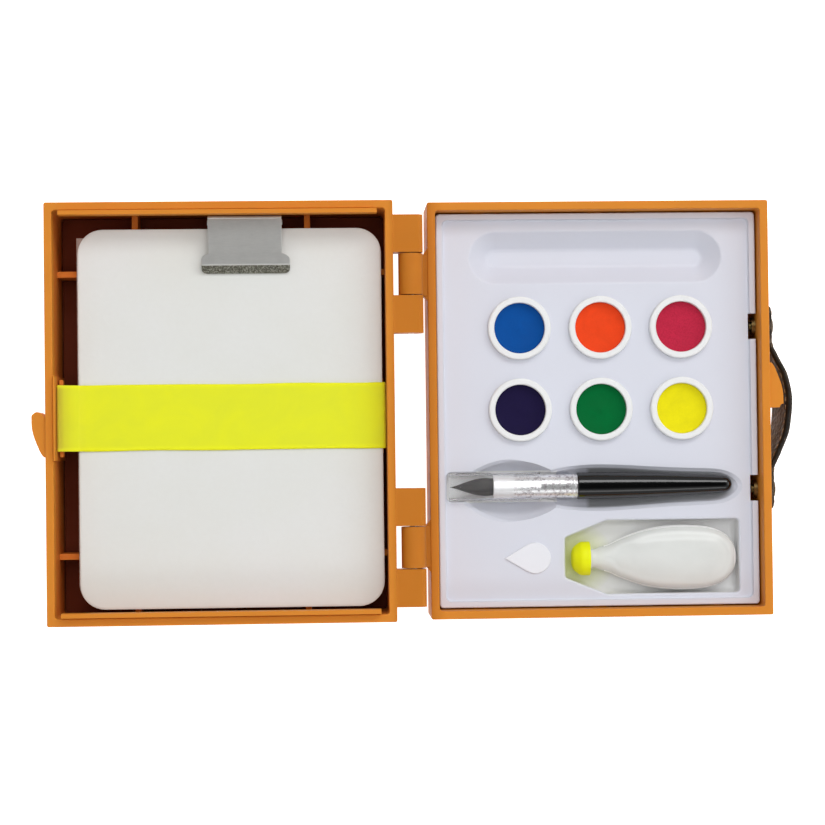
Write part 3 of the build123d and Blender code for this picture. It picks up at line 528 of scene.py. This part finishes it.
def baked(o):
    """The object with its modifiers applied."""
    deps = bpy.context.evaluated_depsgraph_get()
    mesh = bpy.data.meshes.new_from_object(o.evaluated_get(deps))
    o.modifiers.clear()
    o.data = mesh
    return o


def skin(rings, close_start=True, close_end=True):
    """Faces over rings of equal length, closed round and capped with fans."""
    n = len(rings[0])
    verts = [v for r in rings for v in r]
    faces = []
    for i in range(len(rings) - 1):
        for j in range(n):
            a, b = i * n + j, i * n + (j + 1) % n
            faces.append((a, b, b + n, a + n))
    if close_start:
        verts.append(sum(rings[0], Vector()) / n)
        c = len(verts) - 1
        faces += [(c, (j + 1) % n, j) for j in range(n)]
    if close_end:
        verts.append(sum(rings[-1], Vector()) / n)
        c, s = len(verts) - 1, (len(rings) - 1) * n
        faces += [(c, s + j, s + (j + 1) % n) for j in range(n)]
    return verts, faces


def joined(parts):
    verts, faces = [], []
    for v, f in parts:
        s = len(verts)
        verts += v
        faces += [tuple(i + s for i in q) for q in f]
    return verts, faces


# --------------------------------------------------------------- paper sheets
PAD_X0, PAD_X1, PAD_Y0, PAD_Y1 = -67.4, -5.95, -39.5, 37.4


def outline(x0, x1, y0, y1, r, n=9):
    pts = []
    for cx, cy, a in ((x1 - r, y1 - r, 0), (x0 + r, y1 - r, 90), (x0 + r, y0 + r, 180), (x1 - r, y0 + r, 270)):
        for k in range(n + 1):
            t = math.radians(a + 90 * k / n)
            pts.append((cx + r * math.cos(t), cy + r * math.sin(t)))
    # extra points along the straight sides, so that edges can wave
    out = []
    for i, p in enumerate(pts):
        q = pts[(i + 1) % len(pts)]
        out.append(p)
        d = math.hypot(q[0] - p[0], q[1] - p[1])
        if d > 8:
            m = 14
            out += [(p[0] + (q[0] - p[0]) * k / m, p[1] + (q[1] - p[1]) * k / m) for k in range(1, m)]
    return out


rnd = random.Random(11)
COUNT = 15
pitch = (15.30 - 12.42) / COUNT
parts = []
for k in range(COUNT):
    z0 = 12.42 + k * pitch
    thick = pitch * 0.82
    dx, dy = rnd.uniform(-0.09, 0.05), rnd.uniform(-0.06, 0.06)
    turn = rnd.uniform(-0.0007, 0.0007)
    phase = rnd.uniform(0, 6.28)
    if k == COUNT - 1:
        dx = dy = turn = 0.0
    lift = k / (COUNT - 1)

    def height(x, y, z, phase=phase, lift=lift):
        # the free edge towards the hinge and the corners fall away a little
        fall = 0.07 * smooth((x - (PAD_X1 - 4.5)) / 4.5) * (0.25 + 0.75 * smooth((y - 4) / 20))
        fall += 0.14 * smooth((PAD_Y0 + 3.5 - y) / 3.5) + 0.06 * smooth((PAD_X0 + 3.0 - x) / 3.0)
        fall += 0.04 * smooth((y - (PAD_Y1 - 3.5)) / 3.5)
        wave = 0.015 * math.sin(0.23 * y + phase) + 0.012 * math.sin(0.19 * x + 2 * phase)
        return max(12.42 + 0.15 * (z - 12.42), z - (fall * lift + abs(wave)) * min(1.0, (z - 12.42) / 0.8))

    rings_top, rings_low = [], []
    for inset in (0.0, 0.02, 0.5, 1.2, 2.2, 3.4, 4.7, 6.0):
        loop = outline(PAD_X0 + inset, PAD_X1 - inset, PAD_Y0 + inset, PAD_Y1 - inset, max(0.4, 5.0 - inset * 0.8))
        top, low = [], []
        for x, y in loop:
            xx = x + dx - turn * y
            yy = y + dy + turn * (x + 36)
            h = height(xx, yy, z0 + thick)
            top.append(P(xx, yy, h - (0.02 if inset == 0 else 0.0)))
            low.append(P(xx, yy, h - thick + (0.02 if inset == 0 else 0.0)))
        rings_top.append(top)
        rings_low.append(low)
    rings = list(reversed(rings_low)) + rings_top
    parts.append(skin(rings))
sheets = creased(make("paper_sheets", *joined(parts), [paper]), 50)
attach(sheets, "pad")
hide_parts("pad_sheets")

# --------------------------------------------------------------- elastic strap
STRAP_Y0, STRAP_Y1 = -7.5, 5.9
LEFT, RIGHT = [], []
# left end: a flap on the far tongue, folded over and drawn down to the pad's edge
LEFT += [(-71.25, 14.6), (-71.25, 15.6), (-71.25, 16.6), (-71.25, 17.6), (-71.25, 18.4), (-71.245, 18.72)]
for k in range(1, 8):
    a = math.radians(180 - (180 - 46) * k / 8)
    LEFT.append((-71.01 + 0.235 * math.cos(a), 18.76 + 0.235 * math.sin(a)))
p, q = (-70.83, 18.93), (-67.72, 15.86)
for k in range(0, 15):
    f = k / 14
    LEFT.append((p[0] + (q[0] - p[0]) * f, p[1] + (q[1] - p[1]) * f - 0.10 * math.sin(math.pi * f)))
LEFT += [(-67.50, 15.70), (-67.28, 15.595), (-67.0, 15.55)]
for k in range(1, 31):
    LEFT.append((-67.0 + 31.0 * k / 31, 15.54))
LEFT.append((-36.0, 15.54))
RIGHT.append((-36.0, 15.54))
for k in range(1, 31):
    RIGHT.append((-36.0 + 29.9 * k / 31, 15.54))
RIGHT += [(-6.05, 15.54)]
for k in range(1, 9):
    a = math.radians(90 * k / 9)
    RIGHT.append((-5.94 + 0.56 * math.sin(a), 14.98 + 0.56 * math.cos(a)))
RIGHT += [(-5.38, 14.9), (-5.38, 12.5), (-5.38, 9.0), (-5.38, 6.0)]

section = []
half, steps = (STRAP_Y1 - STRAP_Y0) / 2, 58
mid = (STRAP_Y1 + STRAP_Y0) / 2


def strap_half_thickness(u):
    # ribbed across its width, with a slightly fuller edge cord
    rib = 0.012 * math.cos(u * math.pi * 29)
    cord = 0.020 * smooth((abs(u) - 0.93) / 0.05)
    round_off = math.sqrt(max(0.0, 1 - max(0.0, (abs(u) - 0.975) / 0.025) ** 2))
    return (0.150 + rib + cord) * max(0.05, round_off)


for k in range(steps + 1):
    u = -1 + 2 * k / steps
    section.append((mid + u * half, strap_half_thickness(u)))
for k in range(steps, -1, -1):
    u = -1 + 2 * k / steps
    section.append((mid + u * half, -strap_half_thickness(u)))


def band(name, route):
    rings = []
    for i, (x, z) in enumerate(route):
        a = route[max(0, i - 1)]
        b = route[min(len(route) - 1, i + 1)]
        d = Vector((b[0] - a[0], b[1] - a[1])).normalized()
        normal = (-d.y, d.x)
        sway = 0.05 * math.sin(x * 0.21) * smooth((x + 68) / 3) * smooth((-7 - x) / 2)
        narrow = 1.0 - 0.004 * math.sin(x * 0.33)
        rings.append([P(x + normal[0] * t, mid + (y - mid) * narrow + sway, z + normal[1] * t) for y, t in section])
    return creased(make(name, *skin(rings), [elastic]), 60)


strap = band("elastic_band_far", LEFT)
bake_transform(strap)
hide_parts("elastic_strap")
strap_near = band("elastic_band_near", RIGHT)
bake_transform(strap_near)

# --------------------------------------------------------------- leather handle
SHAPE = [(-21.0, 0.0), (-13.2, 0.0), (-9.6, 0.36), (-4.2, 0.86), (1.5, 1.0), (6.4, 0.80), (10.6, 0.30), (13.6, 0.0), (21.0, 0.0)]


def strap_inner_x(y, z):
    swell = 2.6 + (z - 3.3) / 9.0 * 1.5
    return FAR_X + 0.05 + swell * curve_through(SHAPE, y)[0]


LEATHER_T = 1.22
rings = []
stations = [-21.0, -20.93, -20.75, -20.4, -19.9, -19.2]
stations += [-19.2 + 38.4 * k / 96 for k in range(1, 96)]
stations += [19.2, 19.9, 20.4, 20.75, 20.93, 21.0]
for y in stations:
    gap = 21.0 - abs(y)
    r = 2.3
    cut = 0.0 if gap >= r else r - math.sqrt(max(0.0, r * r - (r - gap) ** 2))
    z0, z1 = 3.3 + cut, 12.3 - cut
    slim = 1.0 if gap > 0.25 else 0.55 + 0.45 * math.sqrt(gap / 0.25)
    ring = []
    c = 0.34
    # outer face, upper edge, inner face, lower edge
    for side, edge_run in (("out", 0), ("top", 1), ("in", 2), ("low", 3)):
        if side in ("out", "in"):
            for k in range(13):
                f = k / 12
                z = z0 + c + (z1 - z0 - 2 * c) * (f if side == "out" else 1 - f)
                belly = 0.07 * math.sin(math.pi * f) * (1 if side == "out" else 0)
                x = strap_inner_x(y, z)
                mid_x = x + LEATHER_T / 2
                off = (LEATHER_T / 2 * slim + belly - 0.07) if side == "out" else -LEATHER_T / 2 * slim
                ring.append(P(mid_x + off, y, z))
        else:
            for k in range(1, 6):
                a = math.pi * k / 6
                zc = (z1 - c) if side == "top" else (z0 + c)
                x = strap_inner_x(y, zc) + LEATHER_T / 2
                sx = math.cos(a) if side == "top" else -math.cos(a)
                sz = math.sin(a) if side == "top" else -math.sin(a)
                ring.append(P(x + sx * (LEATHER_T / 2 * slim - 0.03), y, zc + sz * c))
    rings.append(ring)


def strap_side(centre, normal):
    return 1 if (abs(normal.z) > 0.35 and normal.x > 0.02) or abs(centre.y) > 0.0209 else 0


handle = make("leather_handle", *skin(rings), [leather, leather_edge], face_material=strap_side)
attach(handle, "base")
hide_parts("handle_strap")

# stitches along both long edges, on the outer and the inner face
parts = []


def stitch(p, q, out, r=0.13):
    d = (q - p).normalized()
    side = d.cross(out).normalized()
    rings = []
    for k in range(9):
        f = k / 8
        centre = p.lerp(q, f) + out * (0.00005 * math.sin(math.pi * f) - 0.00005)
        rr = r * 0.001 * math.sqrt(max(0.04, 1 - (2 * f - 1) ** 4))
        rings.append([centre + side * rr * math.cos(a) + out * rr * math.sin(a) for a in [2 * math.pi * j / 8 for j in range(8)]])
    return skin(rings)


for z in (4.25, 11.35):
    y = -20.0
    while y < 19.2:
        length = 1.15
        for face in (1, -1):
            clear_of_rivet = min(abs(y + length / 2 - 16.9), abs(y + length / 2 + 16.9)) > 2.6 or abs(z - 7.7) > 2.4
            against_wall = face < 0 and abs(y + length / 2) > 12.6
            if clear_of_rivet and not against_wall:
                ends = []
                for yy in (y, y + length):
                    x = strap_inner_x(yy, z) + (LEATHER_T - 0.02 if face > 0 else 0.02)
                    ends.append(P(x, yy, z))
                d = ends[1] - ends[0]
                out = Vector((d.y, -d.x, 0)).normalized() * face
                parts.append(stitch(ends[0], ends[1], out))
        y += 1.62
stitches = make("handle_stitches", *joined(parts), [thread])
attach(stitches, "base")

# ----------------------------------------------------------------- clip jaw
profile = [(28.25, 15.60), (28.32, 15.74), (28.5, 15.90)]
profile += [(28.5 + 1.3 * k / 14, 15.90 + 1.22 * k / 14) for k in range(1, 15)]
profile += [(29.9, 17.21), (30.02, 17.27), (30.2, 17.31)]
profile += [(30.2 + 2.2 * k / 16, 17.31 + 0.30 * k / 16) for k in range(1, 17)]
profile += [(32.4 + 6.5 * k / 10, 17.61 + 1.35 * k / 10) for k in range(1, 11)]
profile += [(38.94, 18.965), (38.99, 18.93), (39.04, 18.93), (39.09, 18.97), (39.20, 19.03), (39.36, 19.03), (39.52, 18.96), (39.64, 18.84), (39.71, 18.66), (39.72, 18.45), (39.72, 18.1), (39.72, 17.7)]
JAW = (-42.25, -24.4)
BODY = (-40.85, -26.0)


def jaw_span(y):
    if y < 29.15:
        r = 0.9
        cut = r - math.sqrt(max(0.0, r * r - (r - (y - 28.25)) ** 2))
        return JAW[0] + cut, JAW[1] - cut
    if y <= 30.9:
        return JAW
    if y < 32.15:
        f = math.sqrt(max(0.0, 1 - ((y - 30.9) / 1.25) ** 2))
        return BODY[0] + (JAW[0] - BODY[0]) * f, BODY[1] + (JAW[1] - BODY[1]) * f
    if y < 32.5:
        f = 0.12 * (1 - smooth((y - 32.15) / 0.35))
        return BODY[0] + f, BODY[1] - f
    return BODY


rnd = random.Random(3)
COLUMNS = 128
tooth = [rnd.uniform(-1, 1) for _ in range(4096)]


def knurl(x, y):
    """Small pressed teeth on the gripping lip, uneven like worn plating."""
    band = smooth((y - 28.42) / 0.15) * smooth((29.78 - y) / 0.15)
    if band <= 0:
        return 0.0
    row = int((y - 28.2) / 0.26)
    col = int((x + 50) / 0.42 + (0.5 if row % 2 else 0))
    u = ((x + 50) / 0.42 + (0.5 if row % 2 else 0)) % 1.0
    v = ((y - 28.2) / 0.26) % 1.0
    bumpy = math.sin(math.pi * u) * math.sin(math.pi * v)
    return band * bumpy * (0.060 + 0.035 * tooth[(row * 131 + col * 17) % 4096])


rings_outer, rings_inner = [], []
for i, (y, z) in enumerate(profile):
    a, b = profile[max(0, i - 1)], profile[min(len(profile) - 1, i + 1)]
    d = Vector((b[0] - a[0], b[1] - a[1])).normalized()
    ny, nz = -d.y, d.x
    x0, x1 = jaw_span(y)
    outer, inner = [], []
    for k in range(COLUMNS + 1):
        f = k / COLUMNS
        x = x0 + (x1 - x0) * f
        edge_drop = 0.05 * (1 - min(1.0, min(x - x0, x1 - x) / 0.14)) ** 2
        h = knurl(x, y) - edge_drop
        outer.append(P(x, y + ny * h, z + nz * h))
        inner.append(P(x, y - ny * 0.34, z - nz * 0.34))
    rings_outer.append(outer)
    rings_inner.append(inner)
verts, faces = [], []
W = COLUMNS + 1
H = len(profile)
for grid in (rings_outer, rings_inner):
    for r in grid:
        verts += r
base_i = W * H
for i in range(H - 1):
    for k in range(COLUMNS):
        a = i * W + k
        faces.append((a, a + 1, a + 1 + W, a + W))
        faces.append((base_i + a, base_i + a + W, base_i + a + 1 + W, base_i + a + 1))
    for k in (0, COLUMNS):
        a = i * W + k
        faces.append((a, a + W, base_i + a + W, base_i + a))
for i in (0, H - 1):
    for k in range(COLUMNS):
        a = i * W + k
        faces.append((a, base_i + a, base_i + a + 1, a + 1))
jaw_parts = [(verts, faces)]


def plate(x, t, pts):
    """A flat plate of thickness t in the YZ plane with softened edges."""
    n = len(pts)
    cy = sum(p[0] for p in pts) / n
    cz = sum(p[1] for p in pts) / n
    rings = []
    for dx, shrink in ((0.0, 0.05), (0.05, 0.0), (t - 0.05, 0.0), (t, 0.05)):
        ring = []
        for y, z in pts:
            d = Vector((y - cy, z - cz))
            d = d * (1 - shrink / max(0.3, d.length))
            ring.append(P(x + dx, cy + d.x, cz + d.y))
        rings.append(ring)
    return skin(rings)


cheek = [(39.62, 17.5), (39.62, 18.5), (39.1, 18.66), (36.4, 18.05), (33.7, 17.50), (35.2, 16.9), (37.5, 16.76)]
cheek += [(38.45 + 0.84 * math.cos(math.radians(a)), 17.45 + 0.84 * math.sin(math.radians(a))) for a in range(235, 351, 12)]
for x in (-40.85, -26.4):
    jaw_parts.append(plate(x, 0.4, cheek))

clip_dark, tree, shader, obj = new_material("clip_lip_plating")
spots = noise(tree, obj, 2600.0, 4.0, 0.75)
tree.links.new(ramp(tree, spots, [(0.36, srgb(74, 74, 64)), (0.52, srgb(122, 123, 112)), (0.66, srgb(196, 197, 186))]), shader.inputs["Base Color"])
tree.links.new(bump(tree, spots, 0.7, 0.00005), shader.inputs["Normal"])
tree.links.new(remap(tree, spots, 0.32, 0.55), shader.inputs["Roughness"])
shader.inputs["Metallic"].default_value = 0.7

jaw = make("clip_jaw_plate", *joined(jaw_parts), [clip_steel, clip_dark], face_material=lambda c, n: 1 if c.y < 0.02984 else 0)
creased(jaw, 40)
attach(jaw, "clip_jaw")
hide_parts("clip_front_jaw")

# ------------------------------------------------------------- water bottle
BY, BZ = -30.8, 9.0
OUTER = [(37.7, 1.95, 1.95), (38.9, 2.35, 2.2), (40.3, 2.75, 2.4), (43.1, 4.05, 2.85), (47.8, 5.68, 3.25), (51.2, 6.34, 3.38), (54.5, 6.60, 3.42)]
quarter = [0.0, 0.9, 1.8, 3.0, 5.0, 8.0, 12.0, 17.0, 23.0, 30.0, 38.0, 47.0, 56.0, 65.0, 74.0, 82.0, 90.0]
half_turn = quarter + [180.0 - a for a in reversed(quarter[:-1])]
ANGLES = [math.radians(a) for a in half_turn[:-1] + [a + 180.0 for a in half_turn[:-1]]]
SEGMENTS = len(ANGLES)


def bottle_size(x):
    """Half width and half height; past the widest place the outline is one rounded heel."""
    if x <= 54.5:
        return curve_through(OUTER, x)
    f = max(0.0, 1 - (min(67.1, x) - 54.5) ** 3.1 / 12.6 ** 3.1) ** (1 / 2.3)
    return 6.60 * f, 3.42 * f


def bottle_ring(x, w, h, panel=True, power=2.0):
    inset = min(w - 1.35, bottle_size(x + 1.5)[0] - 0.55) * smooth((x - 39.2) / 3.5) if panel else 0.0
    ring = []
    for a in ANGLES:
        ca, sa = math.cos(a), math.sin(a)
        yy = w * math.copysign(abs(ca) ** (2 / power), ca)
        zz = h * math.copysign(abs(sa) ** (2 / power), sa)
        if panel:
            # both broad faces are pressed flat inside a line that follows the outline
            if abs(zz) > 0.3 * h and inset > 0:
                zz -= math.copysign(0.26 * smooth((inset - abs(yy)) / 0.45) + 0.05 * smooth((inset - 1.2 - abs(yy)) / 2.5), zz)
            # moulding seam round the middle
            yy += math.copysign(0.085 * math.exp(-(zz / 0.14) ** 2), yy)
        ring.append(P(x, BY + yy, BZ + zz))
    return ring


rings = []
for x, r in ((34.7, 2.40), (36.4, 2.40), (36.75, 2.40), (36.85, 2.30), (36.95, 2.0), (37.3, 1.95)):   # neck, inner end first
    rings.append([P(x, BY + r * math.cos(a), BZ + r * math.sin(a)) for a in ANGLES])
stations = [37.7 + (66.0 - 37.7) * k / 60 for k in range(61)] + [66.2, 66.4, 66.6, 66.75, 66.87, 66.95, 67.0]
for x in stations:
    w, h = bottle_size(x)
    rings.append(bottle_ring(x, w, h, panel=x > 38.2, power=2.0 + 0.2 * smooth((x - 41) / 9)))
outer_shell = skin(rings)


# painted highlight: faces along the outline and at the heel take the whiter seam material
def bottle_part(centre, normal):
    x, y, z = centre.x * 1000 - HINGE_X, centre.y * 1000 - BY, centre.z * 1000 - BZ
    if x < 39.5:
        return 0
    w = bottle_size(x)[0]
    return 1 if abs(y) > 0.957 * w or x > 66.6 else 0


bottle = make("squeeze_bottle", *outer_shell, [milky, seam_highlight], face_material=bottle_part)
creased(bottle, 70)
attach(bottle, "bottle")
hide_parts("water_bottle")

# ------------------------------------------------------------- brush hair
AY, AZ = -15.75, 10.85
TUFT = [(8.1, 0.05), (9.2, 0.36), (10.6, 0.85), (12.2, 1.36), (13.6, 1.70), (15.2, 1.86), (16.6, 1.74), (17.6, 1.68)]
rnd = random.Random(21)


def tuft_radius(x):
    return curve_through(TUFT, x)[0]


core = [[P(x, AY + 0.86 * tuft_radius(x) * math.cos(2 * math.pi * j / 24), AZ + 0.86 * tuft_radius(x) * math.sin(2 * math.pi * j / 24)) for j in range(24)]
        for x in [8.5 + 9.0 * k / 20 for k in range(21)]]
parts = [skin(core)]
for i in range(560):
    f = math.sqrt(rnd.uniform(0.45, 1.0))
    a0 = rnd.uniform(0, 2 * math.pi)
    tip = 8.1 + (rnd.random() ** 2) * 2.6
    bend = rnd.uniform(-0.05, 0.05)
    rings = []
    for k in range(10):
        u = k / 9
        x = 17.4 + (tip - 17.4) * u
        r = tuft_radius(max(8.1, x)) * f
        a = a0 + bend * u * 3
        cy, cz = AY + r * math.cos(a), AZ + r * math.sin(a)
        rr = 0.052 * (1 - 0.8 * u)
        rings.append([P(x, cy + rr * math.cos(t), cz + rr * math.sin(t)) for t in (0.0, 2.094, 4.189)])
    parts.append(skin(rings))
tuft = make("hair_tuft", *joined(parts), [hair])
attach(tuft, "brush")
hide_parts("brush_bristles")

# rolled mouth of the ferrule, flared to the sleeve's bore
rings = []
for x, r in ((20.9, 2.385), (20.2, 2.40), (19.2, 2.40), (18.2, 2.42), (17.4, 2.44), (16.95, 2.46), (16.75, 2.44), (16.68, 2.36), (16.72, 2.20), (16.9, 2.08)):
    rings.append([P(x, AY + r * math.cos(2 * math.pi * j / 48), AZ + r * math.sin(2 * math.pi * j / 48)) for j in range(48)])
mouth_ring = creased(make("ferrule_mouth", *skin(rings, close_start=False, close_end=False), [mouth_metal]), 40)
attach(mouth_ring, "brush")

# ------------------------------------------------------------------ stage
floor_material, tree, shader, obj = new_material("floor_paper")
tone = noise(tree, obj, 3.0, 2.0)
tree.links.new(ramp(tree, tone, [(0.3, (0.80, 0.80, 0.80)), (0.7, (0.82, 0.82, 0.82))]), shader.inputs["Base Color"])
shader.inputs["Roughness"].default_value = 0.9
shader.inputs["Emission Color"].default_value = (1.0, 1.0, 1.0, 1.0)
shader.inputs["Emission Strength"].default_value = 1.0
S = 3.0
floor = make("floor", [Vector((-S, -S, -0.0002)), Vector((S, -S, -0.0002)), Vector((S, S, -0.0002)), Vector((-S, S, -0.0002))], [(0, 1, 2, 3)], [floor_material], smooth_faces=False)

world = bpy.data.worlds.new("studio")
scene.world = world
world.use_nodes = True
# a white room with a dark opening straight overhead
tree = world.node_tree
coord = tree.nodes.new("ShaderNodeTexCoord")
split = tree.nodes.new("ShaderNodeSeparateXYZ")
tree.links.new(coord.outputs["Generated"], split.inputs[0])
sky = ramp(tree, split.outputs["Z"], [(0.0, (0.98, 0.98, 1.0)), (0.80, (0.98, 0.99, 1.0)), (0.90, (0.10, 0.10, 0.11)), (1.0, (0.05, 0.05, 0.05))])
tree.links.new(sky, tree.nodes["Background"].inputs["Color"])
tree.nodes["Background"].inputs["Strength"].default_value = 0.44


def softbox(name, position, size, power, target=(0, 0, 0.01), colour=(1, 1, 1)):
    light = bpy.data.lights.new(name, "AREA")
    light.shape = "RECTANGLE"
    light.size, light.size_y = size
    light.energy = power
    light.color = colour
    o = bpy.data.objects.new(name, light)
    scene.collection.objects.link(o)
    z = (Vector(position) - Vector(target)).normalized()
    x = Vector((1, 0, 0))
    if abs(z.dot(x)) > 0.95:
        x = Vector((0, 1, 0))
    y = z.cross(x).normalized()
    x = y.cross(z)
    o.matrix_world = Matrix.Translation(Vector(position)) @ Matrix((x, y, z)).transposed().to_4x4()
    return o


softbox("key", (0.30, 0.62, 0.78), (0.90, 0.34), 4.0)
softbox("fill", (0.05, -0.72, 0.60), (0.95, 0.22), 0.9)
softbox("side", (0.85, 0.05, 0.55), (0.30, 0.60), 0.8)
# a broad ceiling glow that lights the wells and leaves the glossy faces clean
ceiling = softbox("ceiling", (0.02, 0.06, 0.95), (0.55, 0.55), 3.3)
ceiling.visible_glossy = False

# ------------------------------------------------------------------ camera
camera_data = bpy.data.cameras.new("camera")
camera_data.sensor_width = 36.0
camera_data.lens = 94.93
camera_data.clip_start = 0.02
camera_data.clip_end = 30.0
camera = bpy.data.objects.new("camera", camera_data)
scene.collection.objects.link(camera)
turn = Matrix.Rotation(-0.0121, 3, "Z") @ Matrix.Rotation(-0.0388, 3, "Y") @ Matrix.Rotation(0.0193, 3, "X")
camera.matrix_world = Matrix.Translation((-0.018411, -0.008675, 0.457587)) @ turn.to_4x4()
scene.camera = camera
scene.view_settings.view_transform = "Standard"
